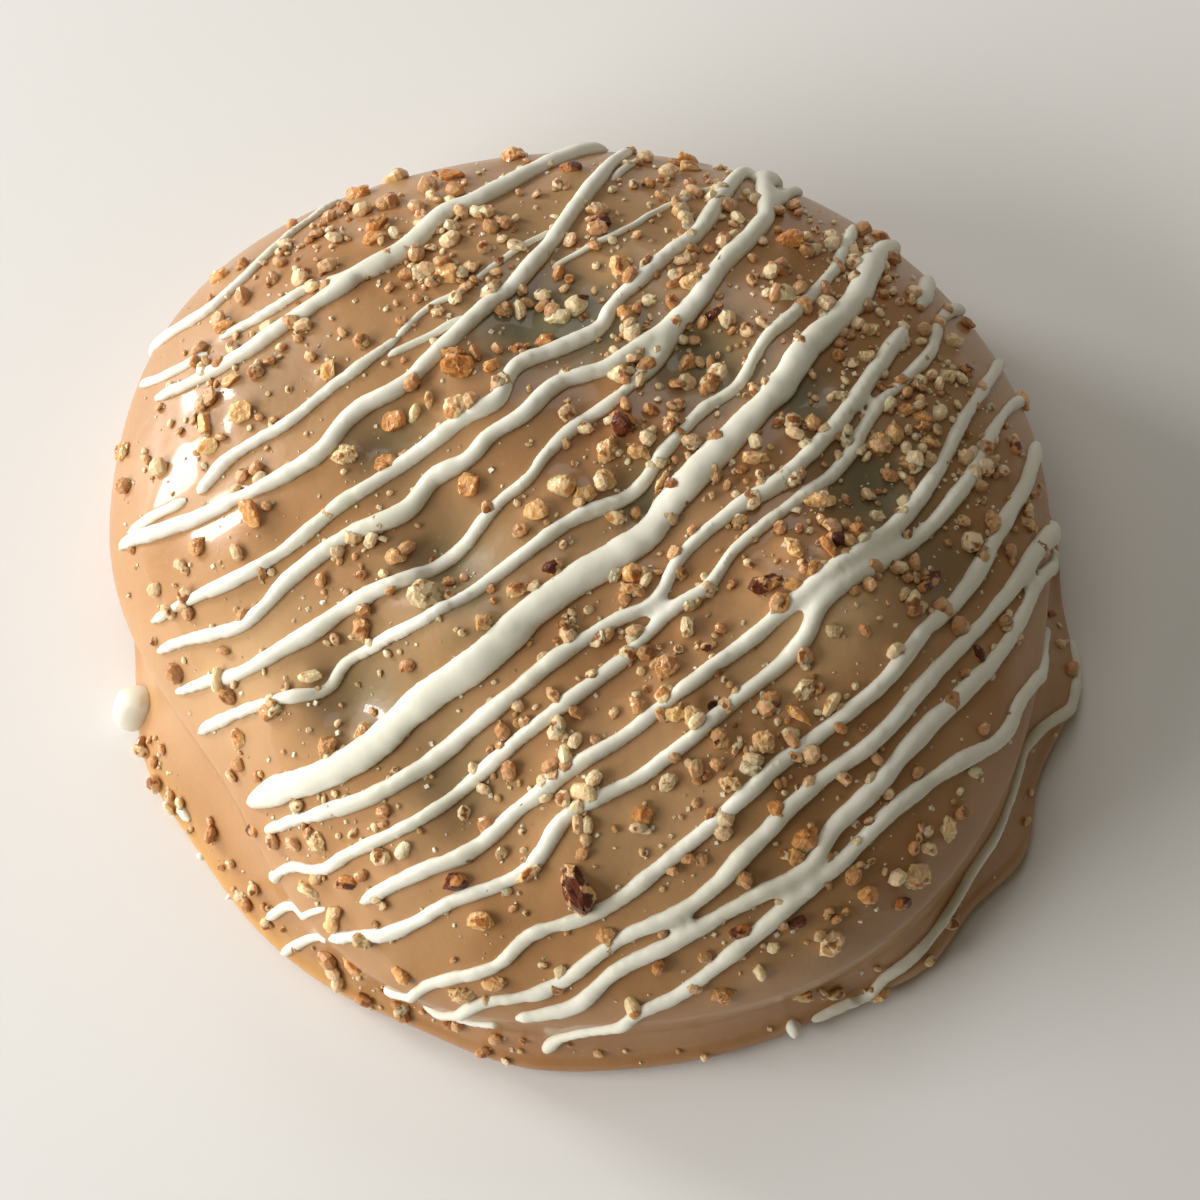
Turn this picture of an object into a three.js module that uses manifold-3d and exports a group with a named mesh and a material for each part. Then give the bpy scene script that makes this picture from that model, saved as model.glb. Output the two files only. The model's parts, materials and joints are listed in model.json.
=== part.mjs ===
// A caramel marshmallow cookie: a low, slightly lumpy dome coated all over in caramel, with a thin foot
// of coating round its base, white drizzle laid to and fro across it, and chopped nuts scattered on it.
// Millimetres, +Z up. The origin is the middle of the flat base, and +Y points to the back of the cookie.

import * as THREE from "three";
import { ConvexGeometry } from "three/addons/geometries/ConvexGeometry.js";
import { mergeVertices } from "three/addons/utils/BufferGeometryUtils.js";
import Module from "manifold-3d";

const wasm = await Module();
wasm.setup();

// Driving dimensions of the coated body.
const bodyHeight = 28;
const domeRadius = 42;
const domeEdgeHeight = 12;
const footRadius = 43;
const footHeight = 3;
const baseFlatRadius = 40.2;
const waistRadius = 41.2;
const bodySides = 48;
const domeRings = 8;

// Driving dimensions of the drizzle: a low rounded bead that sinks a little into the coating.
const drizzleRise = 1.1;
const drizzleSink = 0.7;
const drizzleSides = 6;
const drizzleStep = 6;

// Driving dimensions of the chopped nuts: lengths of the pieces, and the least length that is made here.
const nutLengths = { least: 0.9, most: 2.8 };
const nutShownLength = 2.1;
const nutCorners = 7;

// The dome isn't round: each bulge is at so many degrees from +X, goes so far out, and is so wide.
const domeBulges = [
  { at: 135, out: 6.8, spread: 22 },
  { at: 166, out: 1.0, spread: 9 },
  { at: 95, out: 1.5, spread: 24 },
  { at: 60, out: 0.8, spread: 26 },
  { at: 199, out: -3.2, spread: 13 },
  { at: 238, out: 0.7, spread: 10 },
  { at: 292, out: 1.0, spread: 14 },
  { at: 342, out: -1.5, spread: 14 },
];

// The foot ran out further in some places, where its rim is wavy.
const footBulges = [
  { at: 135, out: 4.0, spread: 26 },
  { at: 186, out: 1.4, spread: 7 },
  { at: 212, out: 0.4, spread: 9 },
  { at: 235, out: -0.5, spread: 6 },
  { at: 250, out: 0.4, spread: 6 },
  { at: 300, out: 1.5, spread: 5 },
  { at: 317, out: 1.5, spread: 4.5 },
  { at: 328, out: -0.7, spread: 4 },
  { at: 340, out: 0.5, spread: 4 },
  { at: 352, out: -1.0, spread: 5 },
  { at: 12, out: -1.0, spread: 9 },
];

// Lumps and hollows of the filling that show through the coating.
const lumps = [
  { x: 4, y: 19, rise: -1.0, spread: 5 },
  { x: 14, y: 14, rise: -0.8, spread: 4 },
  { x: -2, y: 8, rise: 0.7, spread: 7 },
  { x: 5, y: 0, rise: -0.9, spread: 5 },
  { x: 26, y: 1, rise: -1.1, spread: 5 },
  { x: 20, y: -11, rise: 1.3, spread: 5 },
  { x: 30, y: -12, rise: -1.3, spread: 4.5 },
  { x: -14, y: -1, rise: -1.0, spread: 4.5 },
  { x: -14, y: -8, rise: 1.0, spread: 4 },
  { x: -24, y: -10, rise: -1.2, spread: 4.5 },
  { x: -30, y: -13, rise: 0.8, spread: 4 },
  { x: -14, y: -21, rise: -1.1, spread: 5 },
  { x: 8, y: -26, rise: 0.5, spread: 8 },
  { x: -20, y: 24, rise: 0.6, spread: 8 },
];

// The thick strands of drizzle, from back right to front left: bead width and the points it runs through.
// A point beyond the dome's edge lies as far down the side wall as it is beyond the edge.
const drizzle = [
  { width: 1.5, path: [[-17, 43], [-20.5, 39], [-26.5, 34.5], [-33, 32], [-38, 32]] },
  { width: 2.3, path: [[8.5, 44], [3.5, 41], [-3.5, 36], [-10.5, 33], [-17, 29], [-23.5, 28], [-30.5, 27]] },
  { width: 1.6, path: [[-17, 28.5], [-23, 26], [-29, 24.5], [-37.5, 24]] },
  { width: 1.7, path: [[11, 43], [6, 34], [0.5, 28.5], [-6.5, 22.5], [-17.5, 15], [-23, 11.5], [-30, 10], [-43, 11.5]] },
  { width: 1.8, path: [[21, 38.5], [18, 32.5], [4.5, 20], [-7, 12.5], [-17, 7.5], [-22.5, 6], [-29, 3], [-41, 3]] },
  { width: 2.2, path: [[25.5, 35.5], [21, 30], [15, 22], [9, 17]] },
  { width: 1.8, path: [[9, 17], [1, 14.5], [-8.5, 9], [-16.5, 3.5], [-22, 3], [-32, -1], [-41, 0.5]] },
  { width: 1.8, path: [[11, 18], [2, 10], [-8, 2.5], [-11.5, -0.5], [-23.5, -3.5], [-32, -5.5], [-40, -4]] },
  { width: 1.8, path: [[30, 31], [27.5, 24.5], [16, 11.5], [3.5, 1.5], [-5.5, -2], [-13.5, -6.5], [-26, -9.5], [-39, -6]] },
  { width: 3.0, path: [[33, 28], [24, 14.5], [14.5, 5.5], [5, -1.5], [-6.5, -8], [-17.5, -13.5], [-28, -17], [-39.5, -12.5]] },
  { width: 1.9, path: [[32, 16.5], [23.5, 5.5], [8.5, -5.5], [-3.5, -12], [-16.5, -17], [-27.5, -20], [-34.5, -19]] },
  { width: 1.7, path: [[38, 20.5], [27.5, 7], [18.5, -1.5], [4.5, -11.5], [-6.5, -18], [-16, -23], [-27, -25], [-36.5, -22]] },
  { width: 2.0, path: [[40.5, 15], [32.5, 1], [24, -8], [10, -16], [0, -20.5], [-12, -25], [-26.5, -28]] },
  { width: 2.0, path: [[41.5, 10.5], [32.5, -2.5], [23, -10], [14, -17], [4, -22.5], [-9.5, -29.5], [-20.5, -31.5], [-30, -29]] },
  { width: 2.1, path: [[42, 5.5], [36, -5], [27, -14.5], [17, -23], [6, -29], [-8.5, -34], [-20.5, -35.5], [-30, -33]] },
  { width: 2.0, path: [[42, -2], [36.5, -9.5], [28, -18], [18.5, -26], [9, -31.5], [-2.5, -36], [-15.5, -38.5], [-26, -37]] },
  { width: 1.9, path: [[41.5, -5], [33.5, -16.5], [24.5, -24], [12.5, -33.5], [2.5, -36.5], [-8.5, -39], [-15, -39.5]] },
  { width: 1.6, path: [[43, -12], [34.5, -20], [22, -29.5], [12.5, -35], [3, -39.5], [-7, -41.5], [-14, -44]] },
  { width: 1.8, path: [[49, -17], [44.5, -25], [40, -29], [34, -34], [29, -40], [19, -47], [13.5, -51]] },
];

// Drops of drizzle that set on the rim of the foot: place round the rim, height, and radius.
const rimDrops = [
  { at: 180, z: 3, out: 0.7, radius: 2.3 },
  { at: 285, z: 1.6, out: 0.9, radius: 1.4 },
  { at: 357, z: 3.5, out: -0.4, radius: 1.7 },
];

// The largest nut pieces, each placed as it lies: length, and how far round its long side points.
const largeNuts = [
  { x: -7, y: -32, length: 4.2, turn: 95 },
  { x: 2.5, y: 21, length: 3.4, turn: 20 },
  { x: 14, y: -10, length: 3.2, turn: 10 },
  { x: 20, y: -2, length: 2.8, turn: 0 },
  { x: 23, y: -6.5, length: 2.3, turn: 40 },
  { x: 4.5, y: 8.5, length: 2.6, turn: 80 },
  { x: 5.5, y: 29.5, length: 2.4, turn: 0 },
  { x: 13.5, y: 12, length: 2.5, turn: 150 },
  { x: 12, y: 10, length: 2.7, turn: 60 },
  { x: 3.5, y: -18, length: 2.3, turn: 110 },
  { x: -9.5, y: 12.5, length: 2.8, turn: 30 },
  { x: -9, y: 16, length: 3.1, turn: 160 },
  { x: -3, y: 3, length: 2.7, turn: 15 },
  { x: -4.5, y: -25, length: 2.5, turn: 0 },
  { x: 13, y: -32, length: 3.5, turn: 60 },
  { x: 22, y: -34.5, length: 2.6, turn: 30 },
  { x: 26, y: -31, length: 2.8, turn: 120 },
  { x: 13, y: -39, length: 2.8, turn: 100 },
  { x: 15, y: -21, length: 2.5, turn: 75 },
  { x: 28, y: -10, length: 2.9, turn: 45 },
  { x: -29.5, y: 6.5, length: 3.2, turn: 110 },
  { x: -34.5, y: -10.5, length: 2.5, turn: 80 },
  { x: -29, y: 18, length: 2.3, turn: 0 },
  { x: 31, y: 29, length: 3.4, turn: 30 },
  { x: 15, y: 41, length: 2.5, turn: 0 },
  { x: -3, y: 44, length: 2.4, turn: 60 },
];

// Where the smaller pieces fell: the middle of each patch, how far it reaches, and how many it holds.
const nutPatches = [
  { x: 3, y: 24, reach: 12, pieces: 70 },
  { x: 9, y: 6, reach: 9, pieces: 50 },
  { x: 23, y: -4, reach: 8, pieces: 48 },
  { x: 29, y: 6, reach: 8, pieces: 40 },
  { x: 9, y: -22, reach: 8, pieces: 34 },
  { x: -12, y: 26, reach: 12, pieces: 40 },
  { x: 22, y: 28, reach: 12, pieces: 36 },
  { x: -2, y: 42, reach: 10, pieces: 30 },
  { x: -30, y: 32, reach: 12, pieces: 26 },
  { x: 36, y: -10, reach: 12, pieces: 30 },
  { x: -26, y: -22, reach: 12, pieces: 30 },
  { x: -2, y: -20, reach: 20, pieces: 46 },
  { x: -24, y: 4, reach: 18, pieces: 40 },
  { x: 20, y: -34, reach: 14, pieces: 24 },
  { x: -30, y: -38, reach: 10, pieces: 26 },
];

const toRadians = Math.PI / 180;

function smoothstep(low, high, value) {
  const t = Math.min(1, Math.max(0, (value - low) / (high - low)));
  return t * t * (3 - 2 * t);
}

function makeDraw(seed) {
  let state = seed;
  return () => {
    state = (state * 16807) % 2147483647;
    return state / 2147483647;
  };
}

// The radius of an uneven outline at an angle in degrees.
function outlineRadius(radius, bulges, angle) {
  return bulges.reduce((sum, { at, out, spread }) => {
    const away = ((((angle - at + 180) % 360) + 360) % 360) - 180;
    return sum + out * Math.exp(-0.5 * (away / spread) ** 2);
  }, radius);
}

// The body's section, from the middle of the base out over the foot's rim and up the wall to the dome's edge.
const wallSection = [
  [0, 0],
  [baseFlatRadius, 0],
  [footRadius - 0.3, 0.9],
  [footRadius, 2.0],
  [footRadius - 0.9, footHeight + 0.2],
  [waistRadius, footHeight + 2.6],
  [waistRadius + 0.3, domeEdgeHeight - 4],
  [domeRadius - 0.2, domeEdgeHeight - 1.8],
  [domeRadius, domeEdgeHeight],
];

// The dome's height where it is a share of the way out from its middle to its edge.
function domeHeight(share) {
  return domeEdgeHeight + (bodyHeight - domeEdgeHeight) * (1 - share ** 2.8) ** (1 / 1.4);
}

// A point of the even section, at an angle in degrees, moved out to the uneven body.
function bodyPoint(angle, radius, z) {
  const foot = outlineRadius(footRadius, footBulges, angle) / footRadius;
  const dome = outlineRadius(domeRadius, domeBulges, angle) / domeRadius;
  const reach = radius * THREE.MathUtils.lerp(foot, dome, smoothstep(footHeight, domeEdgeHeight - 2, z));
  const x = reach * Math.cos(angle * toRadians);
  const y = reach * Math.sin(angle * toRadians);
  const lift = lumps.reduce((sum, { x: lumpX, y: lumpY, rise, spread }) => {
    const away = Math.hypot(x - lumpX, y - lumpY) / spread;
    return sum + rise * Math.exp(-0.5 * away ** 2);
  }, 0);
  return new THREE.Vector3(x, y, z + lift * smoothstep(domeEdgeHeight, domeEdgeHeight + 6, z));
}

function wallRadius(z) {
  const above = wallSection.findIndex(([, height], index) => index > 3 && height >= z);
  const [outerRadius, outerZ] = wallSection[above];
  const [innerRadius, innerZ] = wallSection[above - 1];
  return THREE.MathUtils.mapLinear(z, innerZ, outerZ, innerRadius, outerRadius);
}

// The point of the coating over, or down the wall from, a plan position.
function coatingPoint(x, y) {
  const angle = Math.atan2(y, x) / toRadians;
  const distance = Math.hypot(x, y);
  const edge = outlineRadius(domeRadius, domeBulges, angle);
  if (distance <= edge) {
    return bodyPoint(angle, (domeRadius * distance) / edge, domeHeight(distance / edge));
  }
  const z = Math.max(2.0, domeEdgeHeight - (distance - edge));
  return bodyPoint(angle, wallRadius(z), z);
}

function coatingNormal(x, y) {
  const step = 0.3;
  const alongX = coatingPoint(x + step, y).sub(coatingPoint(x - step, y));
  const alongY = coatingPoint(x, y + step).sub(coatingPoint(x, y - step));
  return alongX.cross(alongY).normalize();
}

function bodyGeometry() {
  const dome = Array.from({ length: domeRings }, (_, ring) => {
    const share = Math.cos(((ring + 1) / domeRings) * 0.5 * Math.PI);
    return [domeRadius * share, domeHeight(share)];
  });
  const section = [...wallSection, ...dome].map(([radius, z]) => new THREE.Vector2(Math.max(0, radius), z));
  const geometry = new THREE.LatheGeometry(section, bodySides);
  const position = geometry.getAttribute("position");
  const turn = geometry.getAttribute("uv");
  for (let i = 0; i < position.count; i += 1) {
    const radius = section[i % section.length].x;
    const z = section[i % section.length].y;
    const point = bodyPoint((turn.getX(i) % 1) * 360, radius, z);
    position.setXYZ(i, point.x, point.y, point.z);
  }
  return geometry;
}

// One strand of drizzle: a long bead with tapered ends, laid on the coating along its path.
function strandGeometry({ width, path }, index) {
  const plan = path.map(([x, y]) => new THREE.Vector3(x, y, 0));
  const curve = new THREE.CatmullRomCurve3(plan, false, "centripetal");
  const length = curve.getLength();
  const steps = Math.max(5, Math.round(length / drizzleStep));
  const geometry = new THREE.SphereGeometry(1, drizzleSides, steps);
  const position = geometry.getAttribute("position");
  const uv = geometry.getAttribute("uv");
  for (let i = 0; i < position.count; i += 1) {
    const along = 1 - uv.getY(i);
    const here = curve.getPointAt(along);
    const run = curve.getTangentAt(along);
    const surface = coatingPoint(here.x, here.y);
    const normal = coatingNormal(here.x, here.y);
    const side = new THREE.Vector3(run.x, run.y, 0).cross(normal).normalize();
    const fromEnd = Math.min(along, 1 - along) * length;
    const taper = Math.sqrt(1 - (1 - Math.min(1, fromEnd / width)) ** 2);
    const swell = 1 + 0.14 * Math.sin((along * length) / 1.3 + index);
    const ring = Math.floor(i / (drizzleSides + 1)) % steps === 0 ? 0 : 1;
    const round = (i % (drizzleSides + 1)) * ((2 * Math.PI) / drizzleSides);
    const lift = Math.sin(round) * (Math.sin(round) > 0 ? drizzleRise : drizzleSink) * ring * taper;
    surface.addScaledVector(side, 0.5 * width * swell * taper * ring * Math.cos(round));
    surface.addScaledVector(normal, lift);
    position.setXYZ(i, surface.x, surface.y, surface.z);
  }
  return geometry;
}

function dropGeometry({ at, z, out, radius }) {
  const geometry = new THREE.SphereGeometry(radius, 9, 6);
  const place = bodyPoint(at, footRadius, z);
  const away = new THREE.Vector3(Math.cos(at * toRadians), Math.sin(at * toRadians), 0);
  geometry.translate(place.x + out * away.x, place.y + out * away.y, z);
  return geometry;
}

// A chip of nut: a broken lump with flat faces, half sunk in the coating where it lies.
function nutGeometry({ x, y, length, turn }, index) {
  const draw = makeDraw(9001 + 37 * index);
  const corners = Array.from({ length: nutCorners }, (_, corner) => {
    const height = 1 - (2 * (corner + 0.5)) / nutCorners;
    const round = corner * 2.4 + draw();
    const reach = 0.8 + 0.25 * draw();
    const flat = Math.sqrt(1 - height * height) * reach;
    return new THREE.Vector3(flat * Math.cos(round), 0.72 * flat * Math.sin(round), 0.62 * height * reach);
  });
  const geometry = new ConvexGeometry(corners);
  const normal = coatingNormal(x, y);
  const place = coatingPoint(x, y).addScaledVector(normal, 0.12 * length);
  const upright = new THREE.Quaternion().setFromUnitVectors(new THREE.Vector3(0, 0, 1), normal);
  const spin = new THREE.Quaternion().setFromAxisAngle(new THREE.Vector3(0, 0, 1), turn * toRadians);
  const scale = new THREE.Vector3(0.5 * length, 0.5 * length, 0.5 * length);
  geometry.applyMatrix4(new THREE.Matrix4().compose(place, upright.multiply(spin), scale));
  return geometry;
}

// The smaller pieces of each patch, most of them near the least length.
function scatterNuts() {
  const draw = makeDraw(2743);
  return nutPatches.flatMap(({ x, y, reach, pieces }) =>
    Array.from({ length: pieces }, () => {
      const round = 2 * Math.PI * draw();
      const away = reach * Math.sqrt(draw());
      const span = nutLengths.most - nutLengths.least;
      const length = nutLengths.least + span * draw() ** 4;
      const turn = 360 * draw();
      return { x: x + away * Math.cos(round), y: y + away * Math.sin(round), length, turn };
    }),
  );
}

function solidOf(geometry) {
  const bare = geometry.clone();
  bare.deleteAttribute("normal");
  bare.deleteAttribute("uv");
  const merged = mergeVertices(bare, 1e-3);
  const triVerts = new Uint32Array(merged.index.array);
  return new wasm.Manifold(
    new wasm.Mesh({ numProp: 3, vertProperties: merged.getAttribute("position").array, triVerts }),
  );
}

function geometryOf(solid) {
  const { numProp, numVert, vertProperties, triVerts } = solid.getMesh();
  const position = new Float32Array(numVert * 3);
  for (let i = 0; i < numVert; i += 1) {
    position.set(vertProperties.subarray(i * numProp, i * numProp + 3), i * 3);
  }
  const geometry = new THREE.BufferGeometry();
  geometry.setAttribute("position", new THREE.BufferAttribute(position, 3));
  geometry.setIndex(new THREE.BufferAttribute(new Uint32Array(triVerts), 1));
  geometry.computeVertexNormals();
  return geometry;
}

const nuts = [...largeNuts, ...scatterNuts().filter(({ length }) => length >= nutShownLength)];
const toppings = [
  ...drizzle.map(strandGeometry),
  ...rimDrops.map(dropGeometry),
  ...nuts.map(nutGeometry),
];
const fused = toppings.reduce((solid, geometry) => solid.add(solidOf(geometry)), solidOf(bodyGeometry()));

// Only the outer skin is kept, so a pocket that a strand or a nut closes off is filled.
const whole = fused.decompose().reduce((most, piece) => (piece.volume() > most.volume() ? piece : most));

const caramel = new THREE.MeshStandardMaterial({ color: "#b98c68", roughness: 0.4, metalness: 0 });
const cookie = new THREE.Mesh(geometryOf(whole), caramel);
cookie.name = "coated_cookie";

const part = new THREE.Group();
part.add(cookie);

export default part;
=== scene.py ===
import json
import math

import bmesh
import bpy
import numpy as np
from mathutils import Matrix, Vector
from mathutils.bvhtree import BVHTree

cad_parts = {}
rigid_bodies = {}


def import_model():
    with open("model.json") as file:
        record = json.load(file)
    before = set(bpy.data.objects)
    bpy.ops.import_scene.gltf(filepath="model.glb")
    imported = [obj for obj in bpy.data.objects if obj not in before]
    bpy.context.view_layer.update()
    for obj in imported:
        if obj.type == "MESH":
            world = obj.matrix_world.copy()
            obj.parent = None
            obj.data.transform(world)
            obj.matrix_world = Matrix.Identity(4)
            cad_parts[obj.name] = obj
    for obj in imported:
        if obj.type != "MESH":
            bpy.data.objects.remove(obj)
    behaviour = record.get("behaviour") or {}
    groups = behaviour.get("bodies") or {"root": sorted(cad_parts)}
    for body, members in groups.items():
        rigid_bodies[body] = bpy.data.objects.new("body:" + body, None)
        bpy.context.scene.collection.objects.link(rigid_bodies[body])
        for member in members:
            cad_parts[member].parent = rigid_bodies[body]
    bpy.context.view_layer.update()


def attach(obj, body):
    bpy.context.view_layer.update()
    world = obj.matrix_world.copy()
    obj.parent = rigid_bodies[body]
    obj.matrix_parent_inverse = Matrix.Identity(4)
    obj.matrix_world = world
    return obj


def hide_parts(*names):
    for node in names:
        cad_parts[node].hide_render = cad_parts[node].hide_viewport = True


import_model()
mm = 0.001
bodyName = "root"
scene = bpy.context.scene

# The coated body, in millimetres. The origin is the middle of the flat base and +Y is the back.
coating = {
    "height": 28.0,
    "domeRadius": 42.0,
    "domeFullness": 2.8,  # the higher, the further out the dome stays flat before it rolls over
    "edgeHeight": 12.0,
    "footRadius": 43.0,
    "footHeight": 3.0,
    "baseFlatRadius": 40.2,
    "waistRadius": 41.2,
    "lowestReach": 2.0,  # how low on the foot a thread or a nut can lie
    "reliefFade": 6.0,  # lumps and waves start at the dome's edge and are full this much higher
    "aroundCount": 384,
    "domeRows": 120,
    "baseRows": 5,
    "wallStep": 0.35,
    "rippleHeight": 0.14,  # how far the set surface wanders from a true dome
    "rippleLengths": (7.0, 22.0),
    "rippleWaves": 9,
    "rippleSeed": 71,
    "moundHeight": 0.16,  # how far the coating climbs up against a nut, as a share of its length
    "moundReach": 0.62,
}

# Bulges of the dome's outline: degrees from +X, how far out, how wide.
domeBulges = [
    (135, 6.8, 22), (166, 1.0, 9), (95, 1.5, 24), (60, 0.8, 26), (199, -3.2, 13), (238, 0.7, 10),
    (292, 1.0, 14), (342, -1.5, 14),
]

# The foot ran out further in some places, where its rim is wavy.
footBulges = [
    (135, 4.0, 26), (186, 1.4, 7), (212, 0.4, 9), (235, -0.5, 6), (250, 0.4, 6), (300, 1.5, 5),
    (317, 1.5, 4.5), (328, -0.7, 4), (340, 0.5, 4), (352, -1.0, 5), (12, -1.0, 9),
]

# Lumps and hollows of the filling that show through the coating: x, y, rise, spread.
lumps = [
    (4, 19, -1.0, 5), (14, 14, -0.8, 4), (-2, 8, 0.7, 7), (5, 0, -0.9, 5), (26, 1, -1.1, 5),
    (20, -11, 1.3, 5), (30, -12, -1.3, 4.5), (-14, -1, -1.0, 4.5), (-14, -8, 1.0, 4),
    (-24, -10, -1.2, 4.5), (-30, -13, 0.8, 4), (-14, -21, -1.1, 5), (8, -26, 0.5, 8), (-20, 24, 0.6, 8),
]

# Smaller dips and bumps of the set coating itself, and the pit of a burst bubble.
dents = [
    (-2, 20.5, -0.8, 2.4), (12.5, 13.5, -0.8, 2.4), (5.5, 0, -0.7, 2.0), (20.5, 8.5, -0.7, 2.0),
    (24.5, -1, -0.6, 2.4), (-13.5, -1.5, -1.0, 2.4), (-23.5, -11, -1.1, 2.6), (-16, -20, -0.9, 2.2),
    (-15, -24, -0.5, 2.0), (29.5, -11.5, -0.8, 2.4), (25.5, -13.5, 1.8, 3.8), (-17.5, -4.5, 0.9, 2.4),
    (-13.5, -8.5, 0.7, 2.2), (-29, -12, 0.9, 2.6), (-30.5, 6, 0.8, 2.8), (-16, 11, -0.8, 2.0),
    (3.0, 9, -0.55, 4.5), (-6, 0, -0.16, 14), (7.4, -19.6, -0.9, 0.6),
]

# Painted shade and grey-green painted reflection in the coating's hollows: x, y, amount, spread.
paintedHollowShade = [
    (-2, 20.5, 1.0, 4.0), (4, 19, 0.8, 2.6), (12.5, 13.5, 1.0, 3.6), (5.5, 0.5, 1.0, 2.6),
    (20.5, 8.5, 0.9, 2.6), (24.5, -1, 0.9, 3.4), (29, -9, 0.6, 3.2), (-16, 11, 0.7, 3.0),
    (-12.5, -2, 0.65, 3.6), (-22.5, -11, 0.65, 3.6), (-15.5, -21.5, 0.6, 3.4), (-26, 21, 0.35, 5.0),
    (12, -34, 0.2, 8.0), (32, 4, 0.3, 7.0), (-18, -4, 0.2, 8.0), (2, 34, 0.25, 9.0),
]

# Painted light: paler spots on the sides of bumps that face the lamps: x, y, amount, spread.
paintedLightSpots = [
    (20.5, -13, 0.8, 3.4), (-12, -6.5, 0.7, 2.6), (-33, -4, 0.45, 4.5), (-16, -16.5, 0.35, 3.0),
    (-3, -28, 0.35, 4.5), (12, -16.5, 0.4, 4.0), (-2, -1.5, 0.3, 3.5), (12, 27, 0.35, 5.0),
]


def makeDraw(seed):
    # seeded draws from 0 to 1, the same in every run
    multiplier, modulus = 16807, 2**31 - 1
    state = seed

    def draw():
        nonlocal state
        state = state * multiplier % modulus
        return state / modulus

    return draw


def smoothstep(low, high, value):
    t = np.clip((value - low) / (high - low), 0, 1)
    return t * t * (3 - 2 * t)


def outlineRadius(radius, bulges, angle):
    total = np.full(np.shape(angle), float(radius))
    for at, out, spread in bulges:
        away = (angle - at + 180) % 360 - 180
        total = total + out * np.exp(-0.5 * (away / spread) ** 2)
    return total


def spotSum(spots, x, y):
    # round spots that fade out, added up
    total = np.zeros(np.shape(x))
    for spotX, spotY, amount, spread in spots:
        away = np.hypot(x - spotX, y - spotY) / spread
        total = total + amount * np.exp(-0.5 * away**2)
    return total


def ripple(x, y):
    # a few long waves in seeded directions
    draw = makeDraw(coating["rippleSeed"])
    total = np.zeros(np.shape(x))
    shortest, longest = coating["rippleLengths"]
    for _ in range(coating["rippleWaves"]):
        heading = 2 * math.pi * draw()
        wave = shortest + (longest - shortest) * draw()
        phase = 2 * math.pi * draw()
        along = x * math.cos(heading) + y * math.sin(heading)
        total = total + np.sin(2 * math.pi * along / wave + phase)
    return coating["rippleHeight"] * total / 2


def domeHeight(share):
    rise = coating["height"] - coating["edgeHeight"]
    fullness = coating["domeFullness"]
    return coating["edgeHeight"] + rise * (1 - np.clip(share, 0, 1) ** fullness) ** (2 / fullness)


def bodyPoints(angle, radius, z):
    # points of the even section moved out to the uneven body
    edge = coating["edgeHeight"]
    foot = outlineRadius(coating["footRadius"], footBulges, angle) / coating["footRadius"]
    dome = outlineRadius(coating["domeRadius"], domeBulges, angle) / coating["domeRadius"]
    reach = radius * (foot + (dome - foot) * smoothstep(coating["footHeight"], edge - 2, z))
    x = reach * np.cos(np.radians(angle))
    y = reach * np.sin(np.radians(angle))
    lift = ripple(x, y) + spotSum(lumps, x, y) + spotSum(dents, x, y)
    return np.stack([x, y, z + lift * smoothstep(edge, edge + coating["reliefFade"], z)], -1)


def curveThrough(points, step):
    # evenly spaced points on a centripetal Catmull-Rom curve, and how far along it each lies
    finePoints = 30
    points = np.array(points, float)
    points = np.vstack([2 * points[0] - points[1], points, 2 * points[-1] - points[-2]])
    fine = []
    for start in range(1, len(points) - 2):
        p0, p1, p2, p3 = points[start - 1 : start + 3]
        gap0, gap1, gap2 = (math.sqrt(np.linalg.norm(b - a)) for a, b in ((p0, p1), (p1, p2), (p2, p3)))
        slope1 = ((p1 - p0) / gap0 - (p2 - p0) / (gap0 + gap1) + (p2 - p1) / gap1) * gap1
        slope2 = ((p2 - p1) / gap1 - (p3 - p1) / (gap1 + gap2) + (p3 - p2) / gap2) * gap1
        t = np.linspace(0, 1, finePoints, endpoint=False)[:, None]
        cubic = 2 * p1 - 2 * p2 + slope1 + slope2
        square = 3 * p2 - 3 * p1 - 2 * slope1 - slope2
        fine.append(p1 + slope1 * t + square * t**2 + cubic * t**3)
    fine = np.vstack([*fine, points[-2:-1]])
    length = np.concatenate([[0], np.cumsum(np.linalg.norm(np.diff(fine, axis=0), axis=1))])
    count = max(4, round(length[-1] / step))
    places = np.linspace(0, length[-1], count + 1)
    return np.stack([np.interp(places, length, column) for column in fine.T], -1), places


# The body's section from the rim of the base up the wall to the dome's edge, as radius and height.
wallSection, _ = curveThrough(
    [
        (coating["baseFlatRadius"], 0),
        (coating["footRadius"] - 0.3, 0.9),
        (coating["footRadius"], 2.0),
        (coating["footRadius"] - 0.9, coating["footHeight"] + 0.2),
        (coating["waistRadius"], coating["footHeight"] + 2.6),
        (coating["waistRadius"] + 0.3, coating["edgeHeight"] - 4),
        (coating["domeRadius"] - 0.2, coating["edgeHeight"] - 1.8),
        (coating["domeRadius"], coating["edgeHeight"]),
    ],
    coating["wallStep"],
)


def coatingPoints(x, y):
    # points over, or down the wall from, plan positions
    angle = np.degrees(np.arctan2(y, x))
    distance = np.hypot(x, y)
    edge = outlineRadius(coating["domeRadius"], domeBulges, angle)
    share = distance / edge
    down = np.maximum(coating["lowestReach"], coating["edgeHeight"] - (distance - edge))
    onDome = bodyPoints(angle, coating["domeRadius"] * share, domeHeight(share))
    onWall = bodyPoints(angle, np.interp(down, wallSection[:, 1], wallSection[:, 0]), down)
    return np.where((share <= 1)[..., None], onDome, onWall)


def coatingNormals(x, y):
    step = 0.3
    alongX = coatingPoints(x + step, y) - coatingPoints(x - step, y)
    alongY = coatingPoints(x, y + step) - coatingPoints(x, y - step)
    normals = np.cross(alongX, alongY)
    return normals / np.linalg.norm(normals, axis=-1, keepdims=True)


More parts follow.
